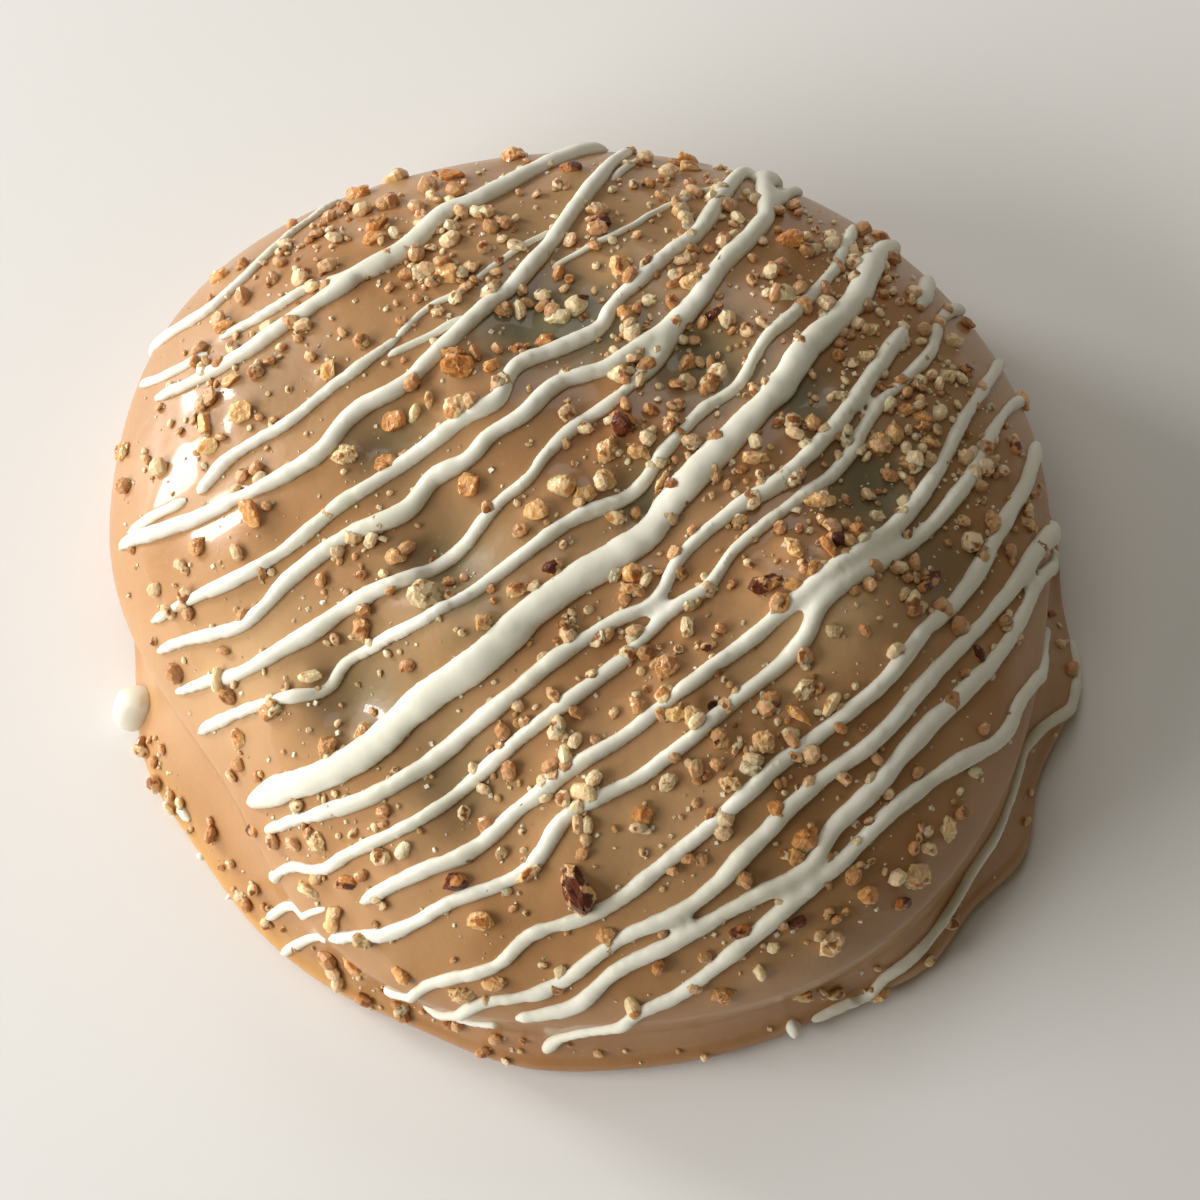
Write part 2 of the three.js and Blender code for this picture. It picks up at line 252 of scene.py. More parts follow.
def hexColour(code):
    # sRGB hex to the linear colour that a socket takes
    parts = [int(code[i : i + 2], 16) / 255 for i in (1, 3, 5)]
    return (*[p / 12.92 if p <= 0.04045 else ((p + 0.055) / 1.055) ** 2.4 for p in parts], 1.0)


def fillInputs(tree, node, inputs):
    # sets each input to a value, or links it to another node's output
    for socket, value in inputs.items():
        if isinstance(value, bpy.types.NodeSocket):
            tree.links.new(value, node.inputs[socket])
        else:
            node.inputs[socket].default_value = value


def addNode(tree, kind, inputs=None, out=0, **settings):
    # adds one node with its settings and links, and gives back the output that is asked for
    node = tree.nodes.new(kind)
    for setting, value in settings.items():
        setattr(node, setting, value)
    fillInputs(tree, node, inputs or {})
    return node.outputs[out]


def startMaterial(name):
    # the material, its tree and shader, and where each point lies on the object
    material = bpy.data.materials.new(name)
    material.use_nodes = True
    tree = material.node_tree
    place = addNode(tree, "ShaderNodeTexCoord", out="Object")
    return material, tree, tree.nodes["Principled BSDF"], place


def colourSteps(ramp, steps):
    # fills a colour ramp from pairs of place and hex colour
    while len(ramp.color_ramp.elements) < len(steps):
        ramp.color_ramp.elements.new(0.5)
    for element, (place, code) in zip(ramp.color_ramp.elements, steps):
        element.position = place
        element.color = hexColour(code)


def meshObject(name, vertices, faces, edges=()):
    mesh = bpy.data.meshes.new(name)
    mesh.from_pydata(vertices, edges, faces)
    mesh.update()
    made = bpy.data.objects.new(name, mesh)
    scene.collection.objects.link(made)
    return made


def addAttribute(target, name, kind, values):
    attribute = target.data.attributes.new(name, kind, "POINT")
    field = "vector" if kind == "FLOAT_VECTOR" else "value"
    attribute.data.foreach_set(field, np.asarray(values).ravel())


def startTree(name, sockets):
    # a modifier tree with a geometry input, named inputs, and a geometry output
    tree = bpy.data.node_groups.new(name, "GeometryNodeTree")
    tree.interface.new_socket("Geometry", in_out="OUTPUT", socket_type="NodeSocketGeometry")
    for socket, kind in {"Geometry": "Geometry", **sockets}.items():
        tree.interface.new_socket(socket, in_out="INPUT", socket_type="NodeSocket" + kind)
    return tree, tree.nodes.new("NodeGroupInput").outputs, tree.nodes.new("NodeGroupOutput")


def endTree(tree, result, geometry, material, smooth):
    real = addNode(tree, "GeometryNodeRealizeInstances", {0: geometry})
    shaded = addNode(tree, "GeometryNodeSetShadeSmooth", {0: real, "Shade Smooth": smooth})
    named = addNode(tree, "GeometryNodeSetMaterial", {0: shaded, "Material": material})
    fillInputs(tree, result, {0: named})


def runTree(target, tree, values):
    # sets the tree's inputs by identifier, evaluates it once, and keeps the plain mesh it makes
    modifier = target.modifiers.new(tree.name, "NODES")
    modifier.node_group = tree
    for item in tree.interface.items_tree:
        if item.in_out == "INPUT" and item.name in values:
            modifier[item.identifier] = values[item.name]
    graph = bpy.context.evaluated_depsgraph_get()
    made = bpy.data.meshes.new_from_object(target.evaluated_get(graph), depsgraph=graph)
    target.modifiers.remove(modifier)
    old = target.data
    target.data = made
    bpy.data.meshes.remove(old)
    made.name = target.name


def keepPiece(piece):
    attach(piece, bodyName)
    print(piece.name, sum(len(face.vertices) - 2 for face in piece.data.polygons), "triangles")


# Nut pieces, crumbs and crystals that are big enough to tell apart, each placed as it lies:
# x, y, length, width as a share of the length, and the way that the long side points in degrees.
placedPieces = {
    "paleNuts": [
        (-12, 43.3, 2.8, 0.75, 0), (-10, 34.5, 1.7, 0.65, 10), (-25.5, 26.5, 1.8, 0.7, 0),
        (-12, 14, 1.8, 0.4, 80), (-13.5, 13, 1.9, 0.45, 60), (-9.5, 12.5, 2.8, 0.9, 10),
        (2.5, 21.5, 2.2, 0.9, 30), (0.5, 20.5, 2.6, 0.55, 170), (13.5, 12, 2.3, 0.9, 170),
        (5, 13, 2.2, 0.85, 170), (21, 19, 2.8, 0.4, 0), (-2, 3, 2.6, 0.8, 170), (2, -0.5, 1.8, 0.7, 150),
        (3.5, -18, 1.9, 0.9, 50), (17.5, -21, 2.4, 0.5, 50), (-5, -25, 2.5, 0.8, 160),
        (-4.5, -41, 2.3, 0.65, 100), (7, -40.5, 1.8, 0.6, 110), (32.5, 6, 1.9, 0.75, 50),
        (-6, -21.5, 2.3, 0.55, 90), (13.5, -23, 1.7, 0.8, 0), (-27, -8, 2.2, 0.5, 0),
        (-35, -5, 2.3, 0.4, 70),
    ],
    "goldenNuts": [
        (-15.5, 42, 2.5, 0.85, 170), (-6.5, 40.5, 2.4, 0.75, 0), (-14, 35.5, 2.5, 0.7, 50),
        (-14.5, 33.5, 2.3, 0.7, 10), (-29.5, 36, 2.1, 0.8, 170), (-29.5, 28.5, 2.1, 0.4, 10),
        (-8.5, 27, 2.5, 0.8, 170), (-20.5, 19.5, 2.1, 0.85, 70), (-29.5, 22, 1.9, 0.65, 10),
        (-29, 18, 2.2, 0.85, 170), (-32.5, 18.5, 2.4, 0.4, 90), (-32.5, 16, 1.9, 0.7, 170),
        (-9, 16.5, 2.9, 0.65, 150), (-15.5, 13, 2.2, 0.75, 10), (-17, 9, 1.9, 0.9, 0),
        (-10, 5, 2.1, 0.85, 70), (-29.5, 7.5, 2.9, 0.45, 100), (-41, 21, 1.9, 0.8, 170),
        (-34.5, -10.5, 1.9, 0.85, 50), (-0.5, 43, 2.9, 0.85, 80), (15.5, 39.5, 2.2, 0.7, 170),
        (15.5, 37.5, 2.1, 0.8, 170), (7, 24.5, 2.1, 0.85, 80), (13, 21.5, 2.5, 0.75, 0),
        (22.5, 25.5, 3, 0.6, 0), (21, 22, 2.4, 0.5, 160), (7, 19.5, 2, 0.7, 140), (-1, 18, 1.9, 0.8, 170),
        (-6, 16, 1.9, 0.6, 20), (31.5, 28.5, 2.6, 0.95, 170), (26.5, 3, 2.4, 0.9, 170),
        (28, 4, 2.2, 0.85, 50), (21, 5.5, 1.9, 0.85, 50), (41, 10, 2.1, 0.75, 80),
        (20, -2.5, 2.9, 0.5, 170), (17, -7, 2.6, 0.5, 100), (20, -7.5, 2.6, 0.4, 110),
        (23, -6, 2.3, 0.7, 140), (18.5, -9.5, 1.9, 0.8, 170), (15, -12, 2.1, 0.8, 80),
        (16.5, -10.5, 2, 0.6, 170), (14.5, -21.5, 2.6, 0.35, 130), (3, -6.5, 2.3, 0.7, 170),
        (2, 3, 2.1, 0.85, 170), (-4.5, 1, 2.1, 0.9, 20), (0, 2, 2.1, 0.75, 10),
        (5.5, -20.5, 2.1, 0.85, 120), (4, -20, 2, 0.7, 0), (-0.5, -27.5, 1.9, 0.9, 170),
        (11, -29, 1.9, 0.8, 150), (13, -31.5, 2.7, 0.8, 50), (12, -32.5, 2.1, 0.8, 60),
        (17.5, -36, 1.9, 0.95, 170), (-31, -33, 2.4, 0.65, 140), (-24, -34, 2.2, 0.65, 130),
        (-16, -37, 2.1, 0.7, 0), (-16, -32.5, 2.3, 0.8, 170), (22, -50.5, 2, 0.9, 170),
        (12.5, -48, 2.1, 0.8, 170), (-29, -28, 2.5, 0.65, 50),
    ],
    "darkNuts": [
        (4.5, 38.5, 2.1, 0.75, 170), (6, 30, 2.1, 0.9, 170), (-3.5, 17.5, 1.7, 0.7, 170),
        (2.9, 22, 1.6, 0.5, 0), (4.5, 8, 2.6, 0.85, 120), (14.5, 18, 1.7, 0.7, 170),
        (36, 11, 1.7, 0.8, 170), (21, -6.5, 2.1, 0.85, 20), (14, -10, 3.2, 0.55, 0),
        (8, -14.5, 1.6, 0.6, 10), (-4, -4.5, 1.9, 0.75, 20), (-7, -32, 4.6, 0.58, 100),
        (6, -37.5, 2, 0.8, 170), (11, -37.5, 1.6, 0.7, 20), (20.5, -36.5, 1.7, 0.75, 170),
        (-17.5, -29, 2.1, 0.75, 170), (-27, -26, 1.9, 0.65, 160), (39, 3.5, 1.6, 0.8, 50),
        (28, -10.5, 3.2, 0.4, 30), (-35, -17.5, 1.8, 0.6, 150), (31.5, -16.5, 1.6, 0.6, 100),
        (7.5, -23, 1.6, 0.8, 170),
    ],
    "toffeeCrumbs": [
        (-8.5, 37.5, 1.9, 0.55, 110), (-20.5, 10.5, 2.4, 0.75, 10), (-9, 18, 2.5, 0.5, 160),
        (12.5, 10.5, 2.4, 0.75, 60), (11, 13.5, 2.1, 0.6, 40), (8.5, 7, 2.3, 0.6, 60),
        (5.5, 5, 2.1, 0.7, 150), (2.5, 5.5, 2.2, 0.8, 60), (15.5, 2.5, 2.7, 0.45, 170),
        (7, 2, 2.1, 0.4, 40), (28, 15, 1.9, 0.8, 170), (27, 12, 1.9, 0.7, 170),
        (35.5, 14.5, 2.1, 0.9, 170), (34, 10, 2, 0.85, 170), (31, 5.5, 2.2, 0.65, 130),
        (31, 4.5, 2.2, 0.4, 0), (31, 3, 2.1, 0.5, 160), (29, 1, 1.9, 0.6, 150), (35, -4.5, 2.3, 0.65, 90),
        (38.5, -4, 2.1, 0.4, 140), (11, -23.5, 2.3, 0.8, 140), (7.5, -26.5, 2.1, 0.6, 170),
        (22, -34.5, 2.6, 0.9, 50), (13.5, -39, 2.6, 0.8, 60), (25.5, -31, 2.4, 0.6, 110),
        (23.5, -32.5, 2, 0.55, 170), (16.5, -34.5, 1.9, 0.75, 90), (3.5, -41.5, 2.1, 0.8, 170),
        (-5.5, -36, 1.9, 0.9, 170), (4, -15.5, 2.4, 0.9, 30), (1, -18.5, 2.1, 0.65, 120),
        (2.5, -8, 2.3, 0.5, 170), (-11, -8.5, 1.9, 0.8, 20), (-7.5, -6, 2.1, 0.6, 10),
        (-19, -37, 2.5, 0.55, 160), (-29, -22, 2.1, 0.85, 110), (-11, -30, 2.7, 0.3, 20),
        (-30.5, -25, 2.4, 0.3, 130), (-31, -10, 2.2, 0.7, 170), (-26.5, -15, 2.3, 0.7, 60),
        (-23, -14.5, 1.9, 0.8, 20), (-35, 7, 2, 0.8, 70), (-21.5, -5.5, 2.1, 0.8, 50),
        (-17.5, 0, 1.9, 0.8, 170),
    ],
    "sugarCrystals": [
        (9, 20.5, 1.5, 0.8, 170), (25, -4, 1.5, 0.8, 0), (15.5, -19.5, 2.1, 0.85, 50),
        (9.5, -25.5, 1.9, 0.75, 170), (29, -26.5, 1.5, 0.8, 170), (-21.5, -25.5, 1.7, 0.75, 50),
        (-26.5, -30.5, 1.9, 0.75, 140), (19, -15, 1.5, 0.9, 170), (27, -13, 1.5, 0.8, 50),
        (-3.5, -10.5, 1.5, 0.8, 170), (6.5, -12.5, 2, 0.6, 80), (-15.5, -5, 3, 0.85, 160),
        (24, 8, 1.5, 0.5, 170), (34.5, -13.5, 1.6, 0.8, 70),
    ],
}

allPieces = [(kind, *row) for kind, rows in placedPieces.items() for row in rows]
print(len(allPieces), "larger nut pieces placed")

# The foot's rim where the coating ran out thin, so that light comes through it.
lip = {"from": 186, "to": 232, "fade": 8, "height": 4.6, "fullHeight": 1.84}

caramel = {
    "broadTones": [(0.3, "#a77649"), (0.52, "#b28558"), (0.72, "#bc9166")],
    "broadSize": 16,
    # painted shade and reflection colour for the hollows
    "poolTone": "#766d50",
    # painted light colour for the lit bumps
    "paleTone": "#d0b083",
    "lipTone": "#c9985a",
    "speckTone": "#c8a67c",
    "speckSize": 0.5,
    "waveSize": 2.5,
    "waveDepth": 0.3,
    "roughness": (0.34, 0.5),
    # the burst bubble's pit is painted near black-brown as painted shade, with a paler ring round it
    "burst": {"x": 7.4, "y": -19.6, "radius": 0.75, "tone": "#4b2413", "rimTone": "#c9a77e"},
}


def climbed(points):
    # the coating climbs up a little against each nut that lies on it
    lift = np.zeros(len(points))
    for _, x, y, length, _, _ in allPieces:
        centre = coatingPoints(np.array([x]), np.array([y]))[0]
        away = np.linalg.norm(points - centre, axis=1) / (coating["moundReach"] * length)
        lift = np.maximum(lift, coating["moundHeight"] * length * np.exp(-(away**2)))
    edge = coating["edgeHeight"]
    return lift * smoothstep(edge - 2, edge + 4, points[:, 2])


# Caramel coating: one closed skin from the flat base up over the dome.
def makeCoating():
    around = coating["aroundCount"]
    turns = np.linspace(0, 0.5 * math.pi, coating["domeRows"] + 2)[1:-1]
    rows = coating["baseRows"]
    base = [(coating["baseFlatRadius"] * row / rows, 0) for row in range(1, rows)]
    dome = [(coating["domeRadius"] * math.cos(t), float(domeHeight(math.cos(t)))) for t in turns]
    section = np.array([*base, *wallSection, *dome])
    angle = np.arange(around) * 360 / around
    radiusGrid, angleGrid = np.meshgrid(section[:, 0], angle, indexing="ij")
    heightGrid = np.repeat(section[:, 1:], around, axis=1)
    points = bodyPoints(angleGrid, radiusGrid, heightGrid).reshape(-1, 3)
    points[:, 2] += climbed(points)
    top = bodyPoints(np.zeros(1), np.zeros(1), np.full(1, coating["height"]))[0]
    points = np.vstack([points, [[0, 0, 0]], [top]])
    bottomPole, topPole = len(points) - 2, len(points) - 1
    last = bottomPole - around
    faces = []
    for low in range(0, last, around):
        high = low + around
        for column in range(around):
            following = (column + 1) % around
            faces.append((low + column, low + following, high + following, high + column))
    for column in range(around):
        following = (column + 1) % around
        faces.append((bottomPole, following, column))
        faces.append((topPole, last + column, last + following))
    piece = meshObject("caramelCoating", points * mm, faces)
    piece.data.shade_smooth()
    x, y, z = points.T
    onDome = smoothstep(coating["edgeHeight"] - 4, coating["edgeHeight"] + 2, z)
    # painted shade and reflection in the hollows, on the dome only
    addAttribute(piece, "pool", "FLOAT", np.clip(spotSum(paintedHollowShade, x, y), 0, 1) * onDome)
    # painted light on the lit bumps, on the dome only
    addAttribute(piece, "pale", "FLOAT", np.clip(spotSum(paintedLightSpots, x, y), 0, 1) * onDome)
    heading = np.degrees(np.arctan2(y, x)) % 360
    onSide = smoothstep(lip["from"] - lip["fade"], lip["from"] + lip["fade"], heading)
    onSide *= smoothstep(lip["to"] + lip["fade"], lip["to"] - lip["fade"], heading)
    addAttribute(piece, "lip", "FLOAT", onSide * smoothstep(lip["height"], lip["fullHeight"], z))
    return piece


# Caramel compound coating, poured warm and left to set: satin, faintly see-through, in broad soft tones,
# with painted grey-green shade and reflection in its hollows, painted light on its lit bumps, warm orange at
# the foot's thin rim.
def caramelMaterial():
    material, tree, shader, place = startMaterial("poured_caramel_coating")
    broadScale = 1 / (caramel["broadSize"] * mm)
    broad = addNode(tree, "ShaderNodeTexNoise", {"Vector": place, "Scale": broadScale, "Detail": 2.0})
    tone = addNode(tree, "ShaderNodeValToRGB", {"Fac": broad})
    colourSteps(tone.node, caramel["broadTones"])
    poreScale = 1 / (caramel["speckSize"] * mm)
    pores = addNode(tree, "ShaderNodeTexNoise", {"Vector": place, "Scale": poreScale, "Detail": 3.0})
    specks = addNode(tree, "ShaderNodeMapRange", {"Value": pores, 1: 0.66, 2: 0.8, 3: 0.0, 4: 0.5})
    burst = caramel["burst"]
    radius = burst["radius"] * mm
    centre = coatingPoints(np.array([burst["x"]]), np.array([burst["y"]]))[0] * mm
    away = addNode(tree, "ShaderNodeVectorMath", {0: place, 1: tuple(centre)}, "Value", operation="DISTANCE")
    rim = addNode(tree, "ShaderNodeMapRange", {"Value": away, 1: 1.25 * radius, 2: radius, 3: 0.0, 4: 0.6})
    # painted shade: the pit is filled with a near black-brown colour
    pitShade = addNode(tree, "ShaderNodeMapRange", {"Value": away, 1: radius, 2: 0.75 * radius})
    # painted light on the lit bumps, painted shade in the hollows and the rim's orange are mixed over the
    # broad tones
    layers = [
        (addNode(tree, "ShaderNodeAttribute", out="Fac", attribute_name=name), caramel[name + "Tone"])
        for name in ("pale", "pool", "lip")
    ]
    layers += [(specks, caramel["speckTone"]), (rim, burst["rimTone"]), (pitShade, burst["tone"])]
    for amount, code in layers:
        tone = addNode(tree, "ShaderNodeMix", {0: amount, 6: tone, 7: hexColour(code)}, 2, data_type="RGBA")
    waveScale = 1 / (caramel["waveSize"] * mm)
    wave = addNode(tree, "ShaderNodeTexNoise", {"Vector": place, "Scale": waveScale, "Detail": 6.0})
    depth = caramel["waveDepth"] * mm
    least, most = caramel["roughness"]
    fillInputs(tree, shader, {
        "Base Color": tone,
        "Normal": addNode(tree, "ShaderNodeBump", {"Height": wave, "Strength": 0.5, "Distance": depth}),
        "Roughness": addNode(tree, "ShaderNodeMapRange", {"Value": broad, 3: least, 4: most}),
        "IOR": 1.46,
        "Subsurface Weight": 0.12,
        "Subsurface Radius": (1.0, 0.5, 0.25),
        "Subsurface Scale": 0.8 * mm,
        "Coat Weight": 0.4,
        "Coat Roughness": 0.07,
    })
    return material


coat = makeCoating()
coat.data.materials.append(caramelMaterial())
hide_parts("coated_cookie")
keepPiece(coat)

# White drizzle: thick threads that melted together where they touch, and fine ones on their own.
# A thread's widths are spread evenly along it. A point beyond the dome's edge lies as far down the side
# wall as it is beyond the edge.
drizzle = {
    "step": 0.5,
    "rise": 1.05,  # the most that a thread stands above the coating
    "dropRise": 3.0,
    "profileSides": 14,
    "voxel": 0.32,
    "smoothing": 3,
    "knobShare": 0.16,
    "knobLength": 3.0,
    "sway": 0.12,
    "endLength": 1.2,  # how far a thread narrows to its end, as a share of its width
    "tallness": 0.88,  # a bead's height as a share of its width, where it stays under the most rise
    "raised": 0.2,  # how far its middle is above the coating, as a share of its half width
}

thickThreads = [
    {"widths": [1.2, 1.5, 1.6], "path": [
        (-17, 42.5), (-21, 39.5), (-26.5, 34.5), (-30.5, 32), (-33.5, 31.5), (-38, 32),
    ]},
    {"widths": [2.2, 2.5, 2.6], "path": [
        (8.5, 43), (3.5, 41), (1, 39.5), (-4.5, 36), (-7.5, 35), (-12.5, 31), (-18, 29),
    ]},
    {"widths": [1.6, 1.5, 1.4], "path": [
        (-15, 30.5), (-18, 29.5), (-21.5, 29.5), (-24.5, 28.5), (-30.5, 27.5),
    ]},
    {"widths": [2.1, 1.9, 1.6], "path": [
        (-15.5, 30), (-18, 28.5), (-23, 26.5), (-28.5, 24.5), (-34, 24), (-37.5, 24.5),
    ]},
    {"widths": [1.1, 1.6, 1.6, 1.8], "path": [
        (-13.5, 21.5), (-18, 19), (-21, 17.5), (-25, 15.5), (-31, 14), (-34.5, 12),
    ]},
    {"widths": [1.6, 2.1, 1.8, 2.1, 1.8, 1.8], "path": [
        (10.5, 42), (8.5, 39), (5.5, 34.5), (3, 31), (0, 27.5), (-3, 24.5), (-6, 22.5), (-9, 20),
        (-14.5, 16), (-19, 14.5), (-22.5, 11.5), (-29, 10), (-37, 10), (-43, 11.5),
    ]},
    {"widths": [1.6, 2.2, 1.8, 1.9, 1.9, 1.8, 1.8, 1.2], "path": [
        (21, 38.5), (18, 33), (14.5, 27.5), (10.5, 24.5), (5.5, 20.5), (4, 18.5), (0, 17), (-4, 15.5),
        (-6, 12.5), (-9, 11.5), (-12.5, 10), (-18, 7.5), (-22, 6), (-29, 3), (-33.5, 2.5), (-41, 3),
    ]},
    {"widths": [2.2, 2.3, 2.8], "path": [
        (24, 38), (22, 35.5), (21, 29), (16, 23), (13, 19.5), (9.5, 16.5), (8.5, 14.5),
    ]},
    {"widths": [1.6, 1.6], "path": [(25.5, 35.5), (22.5, 31.5), (21, 28.5)]},
    {"widths": [2.5, 1.9, 1.9, 2.1, 1.8, 1.4], "path": [
        (13, 19.5), (10.5, 17.5), (7, 15.5), (4, 14), (0.5, 13.5), (-1.5, 12.5), (-4, 10.5), (-7.5, 9),
        (-9.5, 7.5), (-13, 6.5), (-16, 4), (-21.5, 3), (-27, 1), (-32, -1.5), (-37.5, -0.5), (-41, 0.5),
    ]},
    {"widths": [2.5, 1.6, 1.6, 1.6, 1.9, 1.9, 1.4], "path": [
        (12.5, 19.5), (10.5, 17), (8, 13.5), (4, 10.5), (0, 8.5), (-2.5, 6.5), (-4.5, 4.5), (-8, 2.5),
        (-12, -0.5), (-17.5, -2.5), (-21.5, -3), (-27, -4.5), (-32.5, -5.5), (-36.5, -4.5), (-40, -3.5),
    ]},
    {"widths": [1.5, 1.6, 1.6, 1.8, 1.6, 1.6, 1.5], "path": [
        (29.5, 29.5), (26, 22), (22, 17.5), (18, 14), (15.5, 10.5), (11.5, 8), (7.5, 4.5), (4, 1.5),
        (-1, 0), (-6, -2.5), (-11.5, -5.5), (-16, -7), (-23.5, -7.5), (-26, -9.5), (-31, -9),
        (-38.5, -7.5),
    ]},
    {"widths": [2.2, 2.9, 3.0, 3.2, 3.4, 3.4, 3.2, 2.8], "path": [
        (33, 28), (30.5, 24.5), (27.5, 18.5), (22, 13), (18.5, 9), (12.5, 4), (7.5, 0), (4.5, -3),
        (-2, -6), (-6, -8), (-11.5, -11.5), (-17.5, -13.5), (-23.5, -16.5), (-28, -17), (-35, -15.5),
    ]},
    {"widths": [2.1, 1.9, 1.9, 1.6, 1.8, 2.1, 1.9, 1.5], "path": [
        (31.5, 15.5), (28, 11), (23, 5), (17, 0), (12, -2.5), (7.5, -5.5), (4, -9.5), (0.5, -10.5),
        (-4.5, -12.5), (-9.5, -15), (-15.5, -17.5), (-22, -20), (-28, -20), (-34, -18.5),
    ]},
    {"widths": [2.1, 2.1], "path": [(35, 23), (34, 20), (33, 17.5)]},
    {"widths": [1.5, 1.6, 1.6, 1.6, 1.6, 1.8, 1.6, 1.6, 1.5], "path": [
        (38, 20.5), (35, 17), (33, 12.5), (27, 6.5), (22.5, 1), (17.5, -2.5), (12, -6), (9, -9),
        (5.5, -10.5), (0.5, -14), (-6.5, -17.5), (-14.5, -21), (-20, -23.5), (-26, -24), (-29.5, -24),
        (-32, -22.5), (-36.5, -22),
    ]},
    {"widths": [1.6, 1.6, 1.9, 2.2, 1.9, 1.6, 1.9, 1.8, 1.6], "path": [
        (40.5, 15), (38, 10.5), (34, 4.5), (31.5, 0.5), (27.5, -4), (22, -8.5), (17, -11.5), (10.5, -15),
        (5, -18), (0, -20.5), (-5.5, -22.5), (-10.5, -24.5), (-16, -27), (-21, -27.5), (-26.5, -28),
    ]},
    {"widths": [1.5, 1.6, 1.8, 2.1, 1.8, 1.8, 1.8, 1.6, 1.6], "path": [
        (41.5, 10.5), (38, 6), (33.5, -1), (28.5, -6), (22.5, -10), (18.5, -12.5), (16, -15.5),
        (9.5, -19.5), (4.5, -22.5), (0, -24.5), (-7, -26.5), (-11, -29.5), (-18.5, -30.5), (-24, -31),
        (-30, -29),
    ]},
    {"widths": [1.9, 1.9, 1.9, 1.8, 1.8, 1.6, 1.5], "path": [
        (41.5, 5.5), (39.5, 0.5), (36.5, -4), (32.5, -9.5), (27.5, -14.5), (23, -19), (18.5, -22),
        (12, -25.5), (8, -28), (2, -31), (-5.5, -34), (-12, -34.5), (-15.5, -36), (-22.5, -35.5),
        (-29, -36.5),
    ]},
    {"widths": [2.5, 1.8, 1.9, 1.9, 1.8, 1.6, 1.5], "path": [
        (42.5, -2), (39, -6), (35.5, -10.5), (30.5, -15.5), (25, -20.5), (21, -24), (14.5, -27.5),
        (8.5, -31.5), (2.5, -35), (-4.5, -36.5), (-11.5, -38.5), (-19.5, -38), (-23.5, -40),
        (-27.5, -40.5),
    ]},
    {"widths": [1.6, 1.8, 2.2, 2.1, 1.9, 1.8, 1.6], "path": [
        (42, -5), (38.5, -9), (34.5, -15), (30, -19.5), (25, -23.5), (20.5, -27.5), (15.5, -31),
        (13, -33.5), (7, -35.5), (0, -37.5), (-5, -38.5), (-9.5, -40), (-15, -39.5),
    ]},
    {"widths": [1.5, 1.8, 1.9, 1.9, 1.6, 1.5], "path": [
        (43, -12), (38, -16), (34.5, -20), (32, -23.5), (27.5, -26), (21.5, -29.5), (16.5, -33),
        (11, -36), (6, -38.5), (-0.5, -41), (-4.5, -41.5), (-10.5, -44), (-16, -48.5),
    ]},
    {"widths": [1.6, 1.6, 1.5], "path": [
        (50, -12), (48, -18), (42, -23.5), (37, -28.5), (33.5, -34), (31, -39.5), (26.5, -43.5),
        (22, -47), (18, -51), (13.5, -53),
    ]},
    {"widths": [1.4, 1.1], "path": [(-17, -40.5), (-20, -41.5), (-26, -42)]},
]

# Drops that ran down and set on the foot, each as long as it is wide or a little longer.
drops = [
    {"widths": [4.2, 4.8, 4.4], "path": [(-51, 2.5), (-51.8, 0.5), (-51, -1.5)]},
    {"widths": [2.6, 2.8], "path": [(48.5, 13.5), (48.5, 12), (49, 10.5)]},
    {"widths": [2.4, 2.4], "path": [(49.5, -1.5), (49.5, -3), (49.5, -4.5)]},
    {"widths": [2.4, 2.2], "path": [(12.5, -52), (11.5, -52.5), (10.5, -52.5)]},
    {"widths": [1.5, 1.5], "path": [(-49, -17), (-48.7, -17.6), (-48.5, -18.2)]},
    {"widths": [1.5, 1.5], "path": [(-46, -22), (-45.6, -22.5), (-45.4, -23)]},
    {"widths": [1.4, 1.4], "path": [(-50, -10), (-50, -10.6), (-49.9, -11.2)]},
]

fineThreads = [
    {"widths": [1.0, 1.0], "path": [(-31.5, 26.5), (-36, 26.5), (-38.5, 27.5)]},
    {"widths": [0.6, 0.7], "path": [(1.5, 30.5), (-3, 28), (-7.5, 25), (-10.5, 24), (-14, 21.5)]},
    {"widths": [1.0, 1.0], "path": [(-35.5, 12), (-37.5, 12), (-41.5, 12)]},
    {"widths": [0.6, 0.7], "path": [(17.5, 34), (12.5, 31.5), (8.5, 29), (4.5, 27.5), (1, 26)]},
    {"widths": [0.8, 0.8], "path": [(-7.5, 22), (-10.5, 21), (-15, 19.5)]},
    {"widths": [0.8, 0.8], "path": [(11, 39.5), (9.5, 38), (8, 36)]},
    {"widths": [1.0, 1.0], "path": [(-46, -13), (-46.5, -12), (-47, -11)]},
    {"widths": [1.1, 0.6], "path": [(-41, -26), (-33, -26), (-29.5, -27)]},
    {"widths": [1.1, 0.6], "path": [(-41, -30), (-36, -30), (-30.5, -29)]},
]


def threadSkeleton(name, threads):
    # a line along each thread, carrying its half width and the direction it stands up in
    vertices, edges, halves, ups = [], [], [], []
    for thread in threads:
        plan, places = curveThrough(thread["path"], drizzle["step"])
        points = coatingPoints(plan[:, 0], plan[:, 1])
        widths = np.interp(places / places[-1], np.linspace(0, 1, len(thread["widths"])), thread["widths"])
        fromEnd = np.minimum(places, places[-1] - places)
        pointed = np.minimum(drizzle["endLength"] * widths, 0.4 * places[-1])
        rounding = 1 - np.minimum(1, (fromEnd + 0.1) / pointed)
        taper = np.sqrt(np.clip(1 - rounding**2, 0.02, 1))
        start = len(vertices)
        vertices.extend(points * mm)
        edges.extend((start + i, start + i + 1) for i in range(len(points) - 1))
        halves.extend(0.5 * widths * taper * mm)
        ups.extend(coatingNormals(plan[:, 0], plan[:, 1]))
    line = meshObject(name, vertices, [], edges)
    addAttribute(line, "halfWidth", "FLOAT", halves)
    addAttribute(line, "standsUp", "FLOAT_VECTOR", ups)
    return line


